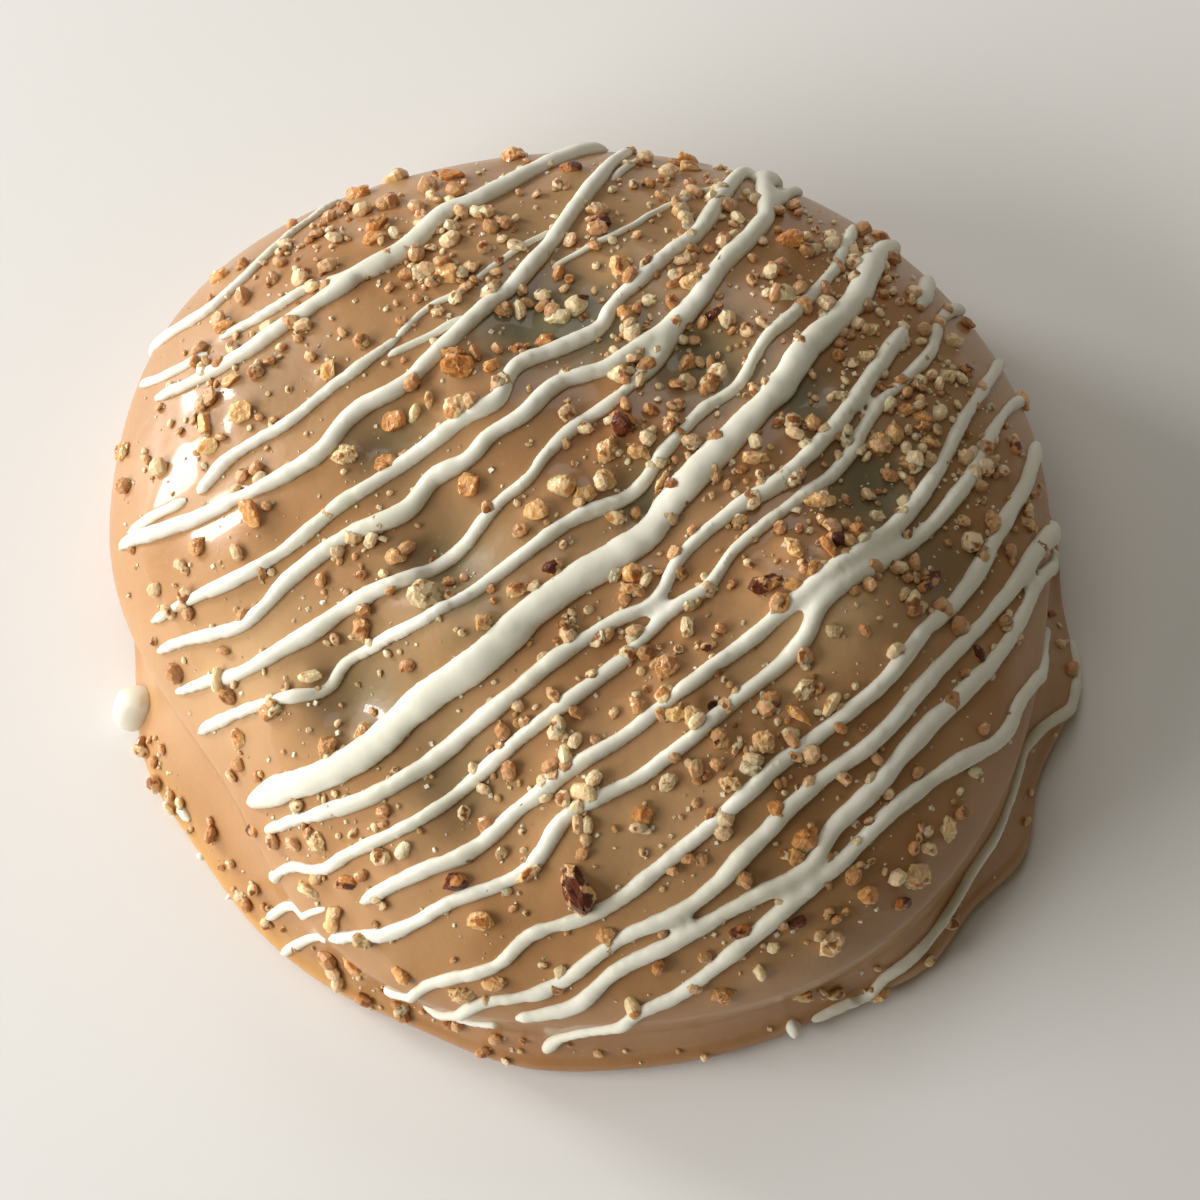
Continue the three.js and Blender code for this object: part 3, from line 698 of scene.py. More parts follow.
def wander(tree, scale, detail, reach):
    # an offset that changes smoothly from place to place
    noise = addNode(tree, "ShaderNodeTexNoise", {"Scale": scale, "Detail": detail}, "Color")
    centred = addNode(tree, "ShaderNodeVectorMath", {0: noise, 1: (0.5, 0.5, 0.5)}, operation="SUBTRACT")
    return addNode(tree, "ShaderNodeVectorMath", {0: centred, "Scale": reach}, operation="SCALE")


def threadTree(melted):
    # sweeps a low bead along each line, knobbly and swaying, then melts the beads together
    tree, given, result = startTree("melted_threads" if melted else "fine_threads", {
        "Profile Sides": "Int", "Knob Share": "Float", "Knob Length": "Float", "Sway": "Float",
        "Most Rise": "Float", "Voxel": "Float", "Smoothing": "Int", "Material": "Material",
    })
    half = addNode(tree, "GeometryNodeInputNamedAttribute", {"Name": "halfWidth"}, data_type="FLOAT")
    up = addNode(tree, "GeometryNodeInputNamedAttribute", {"Name": "standsUp"}, data_type="FLOAT_VECTOR")
    line = addNode(tree, "GeometryNodeMeshToCurve", {0: given["Geometry"]})
    perKnob = addNode(tree, "ShaderNodeMath", {0: 1.0, 1: given["Knob Length"]}, operation="DIVIDE")
    # noise keeps near its middle, so the shares are made three and four times larger
    swayBy = addNode(tree, "ShaderNodeMath", {0: given["Sway"], 1: 3.0}, operation="MULTIPLY")
    knobBy = addNode(tree, "ShaderNodeMath", {0: given["Knob Share"], 1: 4.0}, operation="MULTIPLY")
    swayed = wander(tree, perKnob, 1.0, swayBy)
    bent = addNode(tree, "GeometryNodeSetPosition", {0: line, "Offset": swayed})
    faced = addNode(tree, "GeometryNodeSetCurveNormal", {0: bent, "Normal": up}, mode="FREE")
    knobNoise = addNode(
        tree, "ShaderNodeTexNoise", {"W": 3.7, "Scale": perKnob, "Detail": 2.0}, noise_dimensions="4D"
    )
    knob = addNode(tree, "ShaderNodeMath", {0: knobNoise, 1: 0.5}, operation="SUBTRACT")
    swell = addNode(tree, "ShaderNodeMath", {0: knob, 1: knobBy, 2: 1.0}, operation="MULTIPLY_ADD")
    swollen = addNode(tree, "ShaderNodeMath", {0: half, 1: swell}, operation="MULTIPLY")
    ring = {"Resolution": given["Profile Sides"], "Radius": 1.0}
    profile = addNode(tree, "GeometryNodeCurvePrimitiveCircle", ring)
    kept = addNode(tree, "GeometryNodeCaptureAttribute", {0: faced}).node
    kept.capture_items.new("VECTOR", "middle")
    kept.capture_items.new("FLOAT", "radius")
    spot = addNode(tree, "GeometryNodeInputPosition")
    fillInputs(tree, kept, {"middle": spot, "radius": swollen})
    middle, radius = kept.outputs["middle"], kept.outputs["radius"]
    sweep = {"Curve": kept.outputs[0], "Profile Curve": profile, "Scale": radius, "Fill Caps": True}
    swept = addNode(tree, "GeometryNodeCurveToMesh", sweep)
    # the bead's height above its middle is held to the most rise, so a wide thread is flatter
    outward = addNode(tree, "ShaderNodeVectorMath", {0: spot, 1: middle}, operation="SUBTRACT")
    height = addNode(tree, "ShaderNodeVectorMath", {0: outward, 1: up}, "Value", operation="DOT_PRODUCT")
    tallest = addNode(tree, "ShaderNodeMath", {0: given["Most Rise"], 1: radius}, operation="DIVIDE")
    squash = addNode(tree, "ShaderNodeMath", {0: tallest, 1: 1.0}, operation="MINIMUM")
    squashed = {0: squash, 1: drizzle["tallness"], 2: -1.0}
    less = addNode(tree, "ShaderNodeMath", squashed, operation="MULTIPLY_ADD")
    lower = addNode(tree, "ShaderNodeMath", {0: height, 1: less}, operation="MULTIPLY")
    seated = {0: radius, 1: drizzle["raised"], 2: lower}
    sit = addNode(tree, "ShaderNodeMath", seated, operation="MULTIPLY_ADD")
    lift = addNode(tree, "ShaderNodeVectorMath", {0: up, "Scale": sit}, operation="SCALE")
    body = addNode(tree, "GeometryNodeSetPosition", {0: swept, "Offset": lift})
    if melted:
        grid = {"Mesh": body, "Voxel Size": given["Voxel"], "Interior Band Width": 0.9 * mm}
        volume = addNode(tree, "GeometryNodeMeshToVolume", grid, resolution_mode="VOXEL_SIZE")
        skin = addNode(tree, "GeometryNodeVolumeToMesh", {"Volume": volume, "Threshold": 0.1})
        soften = {"Value": spot, "Iterations": given["Smoothing"]}
        blur = addNode(tree, "GeometryNodeBlurAttribute", soften, data_type="FLOAT_VECTOR")
        body = addNode(tree, "GeometryNodeSetPosition", {0: skin, "Position": blur})
    endTree(tree, result, body, given["Material"], True)
    return tree


icingLook = {
    "tones": [(0.3, "#dedbc7"), (0.55, "#e6e3d3"), (0.75, "#eeebdf")],
    "cloudSize": 9.0,
    "grainSize": 0.8,
    "grainDepth": 0.12,
    "roughness": (0.36, 0.52),
}


# White icing, squeezed from a bag in thin threads and set: creamy, dull satin, light passes a little way in.
def icingMaterial():
    material, tree, shader, place = startMaterial("set_white_icing")
    cloudScale, grainScale = (1 / (icingLook[key] * mm) for key in ("cloudSize", "grainSize"))
    clouds = addNode(tree, "ShaderNodeTexNoise", {"Vector": place, "Scale": cloudScale, "Detail": 3.0})
    tone = addNode(tree, "ShaderNodeValToRGB", {"Fac": clouds})
    colourSteps(tone.node, icingLook["tones"])
    grain = addNode(tree, "ShaderNodeTexNoise", {"Vector": place, "Scale": grainScale, "Detail": 4.0})
    depth = icingLook["grainDepth"] * mm
    least, most = icingLook["roughness"]
    fillInputs(tree, shader, {
        "Base Color": tone,
        "Normal": addNode(tree, "ShaderNodeBump", {"Height": grain, "Strength": 0.2, "Distance": depth}),
        "Roughness": addNode(tree, "ShaderNodeMapRange", {"Value": clouds, 3: least, 4: most}),
        "IOR": 1.45,
        "Subsurface Weight": 0.2,
        "Subsurface Radius": (1.0, 0.8, 0.55),
        "Subsurface Scale": 0.6 * mm,
    })
    return material


icing = icingMaterial()
threadPieces = []
for pieceName, threads, melted, rise in (
    ("whiteDrizzle", thickThreads, True, drizzle["rise"]),
    ("whiteDrops", drops, True, drizzle["dropRise"]),
    ("fineDrizzle", fineThreads, False, drizzle["rise"]),
):
    threadPiece = threadSkeleton(pieceName, threads)
    runTree(threadPiece, threadTree(melted), {
        "Profile Sides": drizzle["profileSides"],
        "Knob Share": drizzle["knobShare"],
        "Knob Length": drizzle["knobLength"] * mm,
        "Sway": drizzle["sway"] * mm,
        "Most Rise": rise * mm,
        "Voxel": drizzle["voxel"] * mm,
        "Smoothing": drizzle["smoothing"],
        "Material": icing,
    })
    keepPiece(threadPiece)
    threadPieces.append(threadPiece)

# Chopped nuts, crumbs and crystals: balls pushed out in lumps and broken off flat on some sides. Each kind
# has its shape, its colours from low to high tint, the colour of its skin or browner patches, and how light
# meets it.
# each piece's tint is also painted paler at its top and darker low down, as painted light and shade
toppings = {
    # blanched almond and hazelnut, chopped: ivory, waxy, faintly see-through at thin edges
    "paleNuts": {
        "finish": "chopped_blanched_nut", "slot": "chopped_nuts",
        "cuts": 4, "lumps": 3, "lumpSize": 0.5,
        "breaks": 10, "depth": (0.44, 0.72), "height": 0.62, "grit": 0.05,
        "tones": ("#dcb681", "#e8ca99", "#f2dcb2"), "skin": "#bd854b", "skinShare": 0.05,
        "roughness": 0.42, "subsurface": 0.45,
    },
    # roasted nut, chopped: golden tan with browner broken faces, oily sheen
    "goldenNuts": {
        "finish": "chopped_roasted_nut", "slot": "chopped_nuts",
        "cuts": 4, "lumps": 4, "lumpSize": 0.4,
        "breaks": 11, "depth": (0.42, 0.7), "height": 0.62, "grit": 0.09,
        "tones": ("#c07e42", "#d49c60", "#e8be86"), "skin": "#a0672f", "skinShare": 0.02,
        "roughness": 0.36, "subsurface": 0.65,
    },
    # nut with its red-brown skin still on one side
    "darkNuts": {
        "finish": "chopped_nut_with_skin", "slot": "chopped_nuts",
        "cuts": 4, "lumps": 3, "lumpSize": 0.4,
        "breaks": 10, "depth": (0.44, 0.72), "height": 0.6, "grit": 0.08,
        "tones": ("#a5612f", "#c98a4e", "#e2b57c"), "skin": "#5b2a17", "skinShare": 0.45,
        "roughness": 0.36, "subsurface": 0.2,
    },
    # crushed toffee: tan glassy crumbs with a bright grainy skin
    "toffeeCrumbs": {
        "finish": "crushed_toffee", "slot": "sugar_crystals",
        "cuts": 4, "lumps": 8, "lumpSize": 0.34,
        "breaks": 9, "depth": (0.46, 0.74), "height": 0.64, "grit": 0.13,
        "tones": ("#b27f4b", "#cc9d69", "#e9cb9c"), "skin": "#9c6838", "skinShare": 0.03,
        "roughness": 0.26, "subsurface": 0.65,
    },
    # coarse raw sugar: pale amber, light shows through it a little, sharp bright facets
    "sugarCrystals": {
        "finish": "coarse_raw_sugar", "slot": "sugar_crystals",
        "cuts": 3, "lumps": 5, "lumpSize": 0.3,
        "breaks": 9, "depth": (0.45, 0.72), "height": 0.7, "grit": 0.1,
        "tones": ("#b99a6c", "#d4bc92", "#ecdcb8"), "skin": "#96774b", "skinShare": 0.1,
        "roughness": 0.16, "subsurface": 0.4,
    },
    # the crumbs that broke off all of them: near the coating's own colour, paler where light catches them
    "fineCrumbs": {
        "finish": "broken_fine_crumbs", "slot": "sugar_crystals",
        "cuts": 1, "lumps": 4, "lumpSize": 0.5,
        "breaks": 5, "depth": (0.5, 0.8),
        "tones": ("#b4814f", "#cfa274", "#ebcfa6"), "skin": "#915d30", "skinShare": 0.05,
        "roughness": 0.3, "subsurface": 0.5,
    },
    # sugar and nut dust: off-white specks
    "sugarDust": {
        "finish": "sugar_and_nut_dust", "slot": "sugar_crystals",
        "cuts": 0, "lumps": 2, "lumpSize": 0.6,
        "breaks": 2, "depth": (0.5, 0.8),
        "tones": ("#d5b88a", "#e6d3ae", "#f3ead2"), "skin": "#c3a070", "skinShare": 0.05,
        "roughness": 0.4, "subsurface": 0.2,
    },
}

scatter = {
    "shapes": 7,
    "shapeSeed": 311,
    "pieceSeed": 6007,
    "plump": 1.04,
    "gritSize": 0.5,
    "mostTilt": 0.25,  # radians
    "ballRadius": 0.72,
    "lumpHeight": 0.3,
    "flatness": 0.95,  # how much of what stands past a break is taken off
}


def chipShape(name, seed, look):
    # a ball pushed out in lumps, then broken off flat on some sides
    draw = makeDraw(seed)
    build = bmesh.new()
    bmesh.ops.create_cube(build, size=2.0)
    if look["cuts"]:
        bmesh.ops.subdivide_edges(build, edges=build.edges[:], cuts=look["cuts"], use_grid_fill=True)

    def someWay():
        height = 2 * draw() - 1
        around = 2 * math.pi * draw()
        flat = math.sqrt(1 - height * height)
        return Vector((flat * math.cos(around), flat * math.sin(around), height))

    swellings = [(someWay(), 0.5 + 0.5 * draw()) for _ in range(look["lumps"])]
    shallow, deep = look["depth"]
    breaks = [(someWay(), shallow + (deep - shallow) * draw()) for _ in range(look["breaks"])]
    for corner in build.verts:
        way = corner.co.normalized()
        reach = scatter["ballRadius"]
        for middle, strength in swellings:
            away = math.acos(max(-1, min(1, way.dot(middle)))) / look["lumpSize"]
            reach += scatter["lumpHeight"] * strength * math.exp(-0.5 * away * away)
        spot = way * reach
        for side, depth in breaks:
            over = spot.dot(side) - depth
            if over > 0:
                spot -= scatter["flatness"] * over * side
        corner.co = spot
    bmesh.ops.triangulate(build, faces=build.faces[:])
    bmesh.ops.recalc_face_normals(build, faces=build.faces[:])
    mesh = bpy.data.meshes.new(name)
    build.to_mesh(mesh)
    build.free()
    spots = np.array([vertex.co for vertex in mesh.vertices])
    middle = (spots.max(0) + spots.min(0)) / 2
    spots = 2 * (spots - middle) / (spots.max(0) - spots.min(0))
    mesh.vertices.foreach_set("co", spots.ravel())
    made = bpy.data.objects.new(name, mesh)
    addAttribute(made, "crown", "FLOAT", spots[:, 2])
    return made


def shapeInput(tree, given):
    # the kind's shapes, each an instance of its own
    pick = {"Collection": given["Shapes"], "Separate Children": True, "Reset Children": True}
    return addNode(tree, "GeometryNodeCollectionInfo", pick)


def chipTree():
    # puts a shape on each point, stood on what it lies on, then roughens the realized faces
    tree, given, result = startTree("set_down_chips", {
        "Shapes": "Collection", "Grit": "Float", "Grit Size": "Float", "Material": "Material",
    })
    shape = addNode(tree, "GeometryNodeInputNamedAttribute", {"Name": "shape"}, data_type="INT")
    size, up, turn = (
        addNode(tree, "GeometryNodeInputNamedAttribute", {"Name": name}, data_type="FLOAT_VECTOR")
        for name in ("size", "standsUp", "turn")
    )
    stood = addNode(tree, "FunctionNodeAlignRotationToVector", {"Vector": up}, axis="Z")
    turned = addNode(tree, "FunctionNodeRotateRotation", {0: stood, 1: turn}, rotation_space="LOCAL")
    placed = addNode(tree, "GeometryNodeInstanceOnPoints", {
        "Points": given["Geometry"],
        "Instance": shapeInput(tree, given),
        "Pick Instance": True,
        "Instance Index": shape,
        "Rotation": turned,
        "Scale": size,
    })
    real = addNode(tree, "GeometryNodeRealizeInstances", {0: placed})
    perGrit = addNode(tree, "ShaderNodeMath", {0: 1.0, 1: given["Grit Size"]}, operation="DIVIDE")
    pieceSize = addNode(tree, "ShaderNodeVectorMath", {0: size}, "Value", operation="LENGTH")
    by = addNode(tree, "ShaderNodeMath", {0: pieceSize, 1: given["Grit"]}, operation="MULTIPLY")
    strong = addNode(tree, "ShaderNodeMath", {0: by, 1: 4.0}, operation="MULTIPLY")
    shift = wander(tree, perGrit, 2.0, strong)
    rough = addNode(tree, "GeometryNodeSetPosition", {0: real, "Offset": shift})
    endTree(tree, result, rough, given["Material"], False)
    return tree


chipLook = {"mottleSize": 0.4, "skinSize": 1.6, "grainSize": 0.25, "grainDepth": 0.14}


def chipMaterial(look):
    material, tree, shader, place = startMaterial(look["finish"])
    tint = addNode(tree, "ShaderNodeAttribute", out="Fac", attribute_name="tint")
    crown = addNode(tree, "ShaderNodeAttribute", out="Fac", attribute_name="crown")
    mottleScale, skinScale, grainScale = (
        1 / (chipLook[key] * mm) for key in ("mottleSize", "skinSize", "grainSize")
    )
    mottle = addNode(tree, "ShaderNodeTexNoise", {"Vector": place, "Scale": mottleScale, "Detail": 4.0})
    spread = addNode(tree, "ShaderNodeMath", {0: mottle, 1: 0.8, 2: -0.4}, operation="MULTIPLY_ADD")
    # painted light and shade: the higher on a piece, the paler its tint; the mottle is the piece's own grain
    lower = addNode(tree, "ShaderNodeMath", {0: crown, 1: 0.16, 2: spread}, operation="MULTIPLY_ADD")
    value = addNode(tree, "ShaderNodeMath", {0: tint, 1: lower}, operation="ADD")
    flesh = addNode(tree, "ShaderNodeValToRGB", {"Fac": value})
    colourSteps(flesh.node, list(zip((0.1, 0.5, 0.9), look["tones"])))
    skinNoise = addNode(tree, "ShaderNodeTexNoise", {"Vector": place, "Scale": skinScale, "Detail": 3.0})
    skinPlace = addNode(tree, "ShaderNodeMath", {0: crown, 1: 0.14, 2: skinNoise}, operation="MULTIPLY_ADD")
    edge = 0.72 - 0.4 * look["skinShare"]
    skin = addNode(tree, "ShaderNodeMapRange", {"Value": skinPlace, 1: edge - 0.03, 2: edge + 0.03})
    grain = addNode(tree, "ShaderNodeTexNoise", {"Vector": place, "Scale": grainScale, "Detail": 3.0})
    mixed = {0: skin, 6: flesh, 7: hexColour(look["skin"])}
    depth = chipLook["grainDepth"] * mm
    fillInputs(tree, shader, {
        "Base Color": addNode(tree, "ShaderNodeMix", mixed, 2, data_type="RGBA"),
        "Normal": addNode(tree, "ShaderNodeBump", {"Height": grain, "Strength": 0.9, "Distance": depth}),
        "Roughness": look["roughness"],
        "IOR": 1.47,
        "Subsurface Weight": look["subsurface"],
        "Subsurface Radius": (1.0, 0.55, 0.3),
        "Subsurface Scale": 1.4 * mm,
        "Coat Weight": 0.3,
        "Coat Roughness": 0.12,
    })
    return material


def layTopping(kind, target, tree, values):
    # runs the tree with the kind's shapes and finish, and keeps the piece that it makes
    look = toppings[kind]
    shapes = bpy.data.collections.new(kind + "Shapes")
    for number in range(scatter["shapes"]):
        shapes.objects.link(chipShape(f"{kind}Shape{number}", scatter["shapeSeed"] + 97 * number, look))
    runTree(target, tree, {"Shapes": shapes, "Material": chipMaterial(look), **values})
    for shape in list(shapes.objects):
        bpy.data.objects.remove(shape)
    bpy.data.collections.remove(shapes)
    keepPiece(target)


def surfaceOf(piece):
    corners = [vertex.co for vertex in piece.data.vertices]
    return BVHTree.FromPolygons(corners, [tuple(face.vertices) for face in piece.data.polygons])


def landed(points, ups, surfaces):
    # where each piece comes to lie when it falls on the coating or on a thread
    fall = 4 * mm
    found = []
    for point, up in zip(points, ups):
        start = Vector(point * mm) + Vector(up) * fall
        hits = [surface.ray_cast(start, -Vector(up), 2 * fall) for surface in surfaces]
        drop = min([distance for spot, _, _, distance in hits if spot is not None] + [fall])
        found.append(point + up * (fall - drop) / mm)
    return np.array(found)


def chipPoints(kind, surfaces):
    # a point for each piece of the kind, carrying how it lies
    mine = [number for number, piece in enumerate(allPieces) if piece[0] == kind]
    x, y, length, share, turn = np.array([allPieces[number][1:] for number in mine]).T
    ups = coatingNormals(x, y)
    cloud = meshObject(kind, landed(coatingPoints(x, y), ups, surfaces) * mm, [])
    draws = [makeDraw(scatter["pieceSeed"] + 131 * number) for number in mine]
    tilts = np.array([[2 * scatter["mostTilt"] * (draw() - 0.5) for _ in range(2)] for draw in draws])
    size = np.stack([length, length * share, length * toppings[kind]["height"]], -1)
    addAttribute(cloud, "shape", "INT", [int(draw() * scatter["shapes"]) for draw in draws])
    addAttribute(cloud, "size", "FLOAT_VECTOR", size * 0.5 * scatter["plump"] * mm)
    addAttribute(cloud, "standsUp", "FLOAT_VECTOR", ups)
    addAttribute(cloud, "turn", "FLOAT_VECTOR", np.column_stack([tilts, np.radians(turn)]))
    addAttribute(cloud, "tint", "FLOAT", [0.15 + 0.7 * draw() for draw in draws])
    return cloud


surfaces = [surfaceOf(piece) for piece in (coat, *threadPieces)]
chipNodes = chipTree()
for kind in placedPieces:
    layTopping(kind, chipPoints(kind, surfaces), chipNodes, {
        "Grit": toppings[kind]["grit"],
        "Grit Size": scatter["gritSize"] * mm,
    })

# Where the crumbs and the dust lie thickest, beside the few that lie everywhere on top: x, y, amount, spread.
crumbPatches = [
    (-4, 27, 0.8, 5.0), (-8, 30.5, 1.0, 4.0), (7, 4, 1.0, 4.5), (8.5, -22.5, 1.0, 4.0),
    (21, -6.5, 1.0, 4.0), (28.5, 3.5, 1.0, 4.0), (7.5, 16.5, 0.9, 3.5), (17, 13, 0.9, 3.0),
    (-28, -21, 0.6, 4.5), (38, -7, 0.7, 4.0), (17, 0, 0.9, 3.0), (26, 23.5, 0.7, 5.0),
    (-8.5, -22, 0.8, 3.5), (-21.5, 38, 0.5, 5.0), (34.5, 5.5, 0.8, 4.0), (1, -10.5, 0.8, 4.0),
    (-29, 20, 0.5, 4.5), (-22.5, 1, 0.5, 4.0), (15, 28, 0.7, 5.0), (27, 15, 0.8, 4.0),
    (20, -33, 0.5, 6.0),
]

crumbs = {
    "fineCrumbs": {
        "perSquareCm": 62.0, "least": 0.6, "most": 2.1, "seed": 12, "patchShare": 0.84, "lift": 0.18,
    },
    "sugarDust": {
        "perSquareCm": 40.0, "least": 0.16, "most": 0.5, "seed": 31, "patchShare": 0.55, "lift": 0.1,
    },
}

# What is drawn for each crumb: its width and height as shares of its length, its tilt in radians, its tint.
crumbDraws = {"width": (0.55, 1.0), "height": (0.5, 0.85), "tilt": (-0.6, 0.6), "tint": (0.05, 0.95)}

# Crumbs that rolled down and stuck on the foot, most of them at the left and front.
rimCrumbs = {"from": 184, "to": 250, "low": 2.2, "high": 5.0, "amount": 0.6, "elsewhere": 0.12}


def crumbTree():
    # strews small shapes over the surface, thicker where its weight is higher, most near the least size
    tree, given, result = startTree("strewn_crumbs", {
        "Shapes": "Collection", "Per Square Metre": "Float", "Least Size": "Float", "Most Size": "Float",
        "Lift Share": "Float", "Seed": "Int", "Material": "Material",
    })

    def drawn(seedOffset, low, high):
        seed = addNode(tree, "ShaderNodeMath", {0: given["Seed"], 1: float(seedOffset)}, operation="ADD")
        return addNode(tree, "FunctionNodeRandomValue", {2: low, 3: high, 8: seed}, 1, data_type="FLOAT")

    weight = addNode(tree, "GeometryNodeInputNamedAttribute", {"Name": "weight"}, data_type="FLOAT")
    density = addNode(tree, "ShaderNodeMath", {0: weight, 1: given["Per Square Metre"]}, operation="MULTIPLY")
    spread = {"Mesh": given["Geometry"], "Density": density, "Seed": given["Seed"]}
    strewn = addNode(tree, "GeometryNodeDistributePointsOnFaces", spread, distribute_method="RANDOM").node
    favoured = addNode(tree, "ShaderNodeMath", {0: drawn(1, 0.0, 1.0), 1: 2.0}, operation="POWER")
    sizes = {0: favoured, 1: 0.0, 2: 1.0, 3: given["Least Size"], 4: given["Most Size"]}
    size = addNode(tree, "ShaderNodeMapRange", sizes)
    half = addNode(tree, "ShaderNodeMath", {0: size, 1: 0.5}, operation="MULTIPLY")
    wide, high = drawn(2, *crumbDraws["width"]), drawn(3, *crumbDraws["height"])
    shares = addNode(tree, "ShaderNodeCombineXYZ", {0: 1.0, 1: wide, 2: high})
    scale = addNode(tree, "ShaderNodeVectorMath", {0: shares, "Scale": half}, operation="SCALE")
    tiltX, tiltY = (drawn(offset, *crumbDraws["tilt"]) for offset in (4, 5))
    tilts = {0: tiltX, 1: tiltY, 2: drawn(6, 0.0, 2 * math.pi)}
    tilt = addNode(tree, "ShaderNodeCombineXYZ", tilts)
    stood = {0: strewn.outputs["Rotation"], 1: tilt}
    turned = addNode(tree, "FunctionNodeRotateRotation", stood, rotation_space="LOCAL")
    raiseBy = addNode(tree, "ShaderNodeMath", {0: size, 1: given["Lift Share"]}, operation="MULTIPLY")
    outward = {0: strewn.outputs["Normal"], "Scale": raiseBy}
    lift = addNode(tree, "ShaderNodeVectorMath", outward, operation="SCALE")
    tinted = {0: strewn.outputs["Points"], "Name": "tint", "Value": drawn(7, *crumbDraws["tint"])}
    shape = addNode(
        tree, "FunctionNodeRandomValue", {4: 0, 5: scatter["shapes"] - 1, 8: 41}, 2, data_type="INT"
    )
    placed = addNode(tree, "GeometryNodeInstanceOnPoints", {
        "Points": addNode(tree, "GeometryNodeStoreNamedAttribute", tinted),
        "Instance": shapeInput(tree, given),
        "Pick Instance": True,
        "Instance Index": shape,
        "Rotation": turned,
        "Scale": scale,
    })
    moved = {0: placed, "Translation": lift, "Local Space": False}
    raised = addNode(tree, "GeometryNodeTranslateInstances", moved)
    endTree(tree, result, raised, given["Material"], False)
    return tree


def crumbWeight(x, y, z, patchShare):
    # how thick the crumbs lie at each point of the coating, from 0 to 1
    onTop = smoothstep(coating["edgeHeight"] + 1, coating["edgeHeight"] + 6, z)
    patches = np.clip(spotSum(crumbPatches, x, y), 0, 1)
    heading = np.degrees(np.arctan2(y, x)) % 360
    thick = (heading > rimCrumbs["from"]) * (heading < rimCrumbs["to"])
    rimHeight = (z > rimCrumbs["low"]) * (z < rimCrumbs["high"])
    onRim = rimHeight * np.where(thick, rimCrumbs["amount"], rimCrumbs["elsewhere"])
    return np.maximum(onTop * (1 - patchShare * (1 - patches)), onRim)


crumbNodes = crumbTree()
for kind, look in crumbs.items():
    cloud = bpy.data.objects.new(kind, coat.data.copy())
    scene.collection.objects.link(cloud)
    x, y, z = np.array([vertex.co for vertex in cloud.data.vertices]).T / mm
    addAttribute(cloud, "weight", "FLOAT", crumbWeight(x, y, z, look["patchShare"]))
    layTopping(kind, cloud, crumbNodes, {
        "Per Square Metre": look["perSquareCm"] * 10000,
        "Least Size": look["least"] * mm,
        "Most Size": look["most"] * mm,
        "Lift Share": look["lift"],
        "Seed": look["seed"],
    })

# Floor, light and camera.
studio = {
    "floorSize": 4.0,
    "floorColours": [(0.3, "#e9e7e3"), (0.7, "#ebe9e6")],
    "floorDrop": 0.05,  # keeps the floor just clear of the flat base
    "cameraElevation": 67.0,
    "cameraRoll": 11.0,
    "cameraDistance": 454.5,
    "cameraTarget": (-0.5, -2.0, 13.0),
    "lens": 150.0,
    "skyColour": "#dccda8",
    "skyStrength": 0.15,
}

# Area lights round the cookie: azimuth from +X and elevation in degrees, distance and size in metres.
lamps = {
    "wideWindow": {"azimuth": 188, "elevation": 24, "distance": 0.75, "size": (0.6, 0.4), "energy": 6.4},
    "ceiling": {"azimuth": 150, "elevation": 78, "distance": 0.9, "size": (0.6, 0.6), "energy": 1.2},
    "brightPane": {"azimuth": 132, "elevation": 22, "distance": 0.8, "size": (0.5, 0.35), "energy": 0.6},
    "highWindow": {"azimuth": 141, "elevation": 15, "distance": 0.8, "size": (0.17, 0.3), "energy": 4.0},
    "rearPanel": {"azimuth": 70, "elevation": 46, "distance": 0.8, "size": (0.3, 0.3), "energy": 0.6},
}
softLamps = ("wideWindow", "ceiling")  # they light the cookie but leave no shine on it


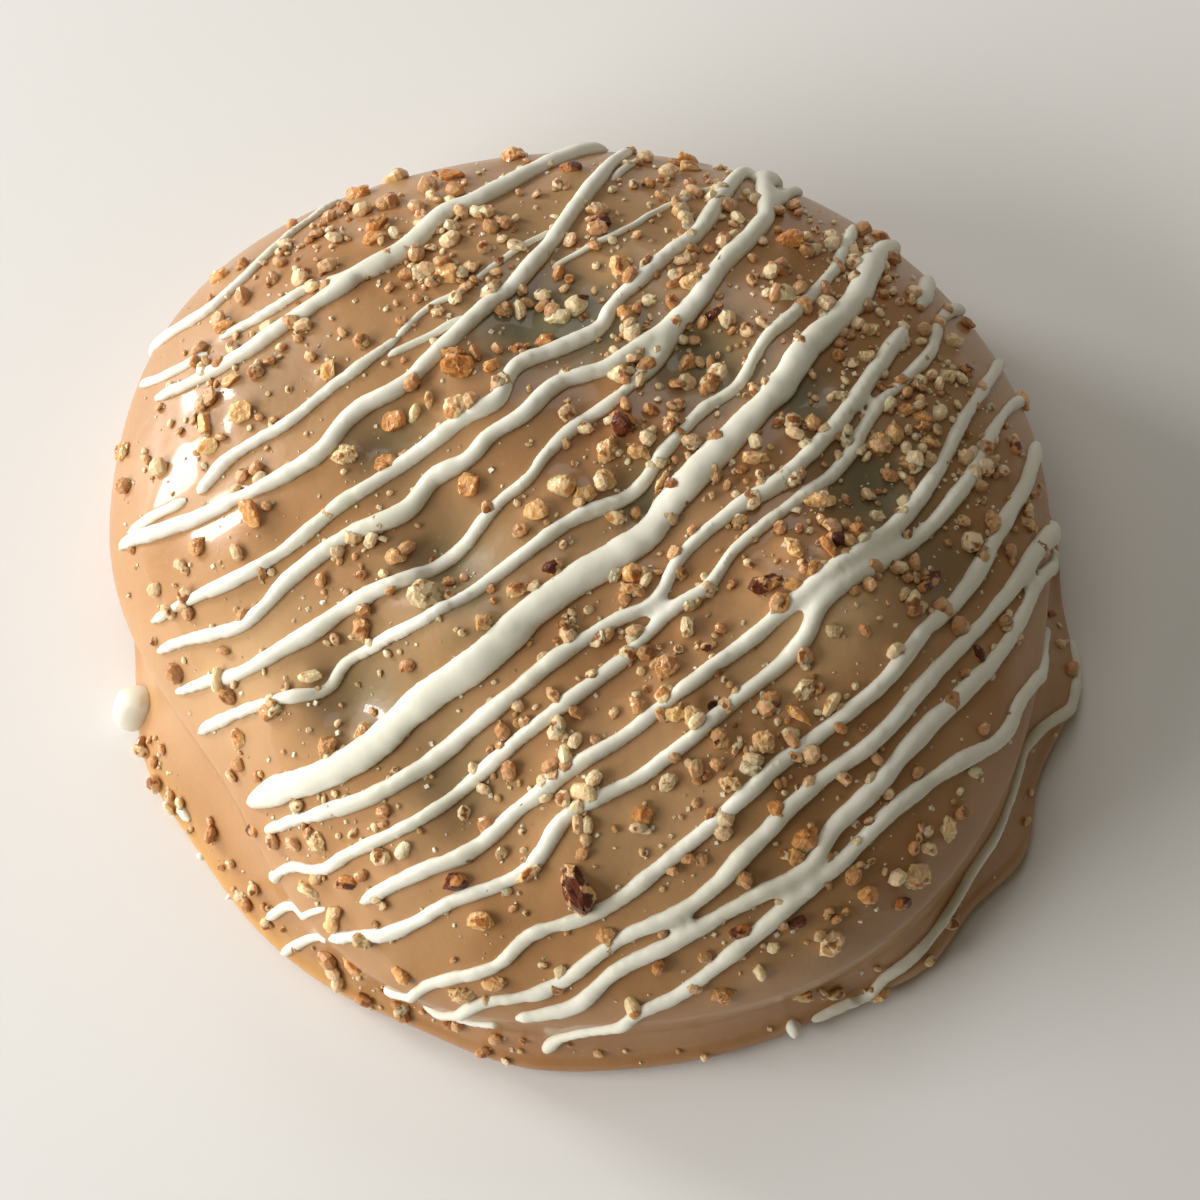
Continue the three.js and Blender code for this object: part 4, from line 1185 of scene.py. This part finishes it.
def makeFloor():
    half = studio["floorSize"] / 2
    level = -studio["floorDrop"] * mm
    corners = [(x * half, y * half, level) for x, y in ((-1, -1), (1, -1), (1, 1), (-1, 1))]
    floor = meshObject("studioFloor", corners, [(0, 1, 2, 3)])
    material, tree, shader, place = startMaterial("matt_white_board")
    cloud = addNode(tree, "ShaderNodeTexNoise", {"Vector": place, "Scale": 3.0})
    tone = addNode(tree, "ShaderNodeValToRGB", {"Fac": cloud})
    colourSteps(tone.node, studio["floorColours"])
    fillInputs(tree, shader, {"Base Color": tone, "Roughness": 0.8})
    floor.data.materials.append(material)


def makeLights():
    for name, lamp in lamps.items():
        azimuth, elevation = math.radians(lamp["azimuth"]), math.radians(lamp["elevation"])
        flat = math.cos(elevation)
        toLight = Vector((math.cos(azimuth) * flat, math.sin(azimuth) * flat, math.sin(elevation)))
        data = bpy.data.lights.new(name, "AREA")
        data.shape = "RECTANGLE"
        data.size, data.size_y = lamp["size"]
        data.energy = lamp["energy"]
        light = bpy.data.objects.new(name, data)
        light.visible_glossy = name not in softLamps
        light.location = toLight * lamp["distance"]
        light.rotation_euler = toLight.to_track_quat("Z", "Y").to_euler()
        scene.collection.objects.link(light)
    world = bpy.data.worlds.new("studioSky")
    world.use_nodes = True
    sky = {"Color": hexColour(studio["skyColour"]), "Strength": studio["skyStrength"]}
    fillInputs(world.node_tree, world.node_tree.nodes["Background"], sky)
    scene.world = world


def makeCamera():
    elevation, roll = math.radians(studio["cameraElevation"]), math.radians(studio["cameraRoll"])
    back = Vector((0, -math.cos(elevation), math.sin(elevation)))
    right = Vector((1, 0, 0))
    up = Vector((0, math.sin(elevation), math.cos(elevation)))
    across = right * math.cos(roll) - up * math.sin(roll)
    upright = right * math.sin(roll) + up * math.cos(roll)
    data = bpy.data.cameras.new("photoCamera")
    data.lens = studio["lens"]
    data.sensor_width = 36
    data.clip_start, data.clip_end = 0.01, 20
    camera = bpy.data.objects.new("photoCamera", data)
    place = (Vector(studio["cameraTarget"]) + back * studio["cameraDistance"]) * mm
    turn = Matrix((across, upright, back)).transposed().to_4x4()
    camera.matrix_world = Matrix.Translation(place) @ turn
    scene.collection.objects.link(camera)
    scene.camera = camera


makeFloor()
makeLights()
makeCamera()
scene.view_settings.view_transform = "Standard"
print("floor, lights and camera are in place")
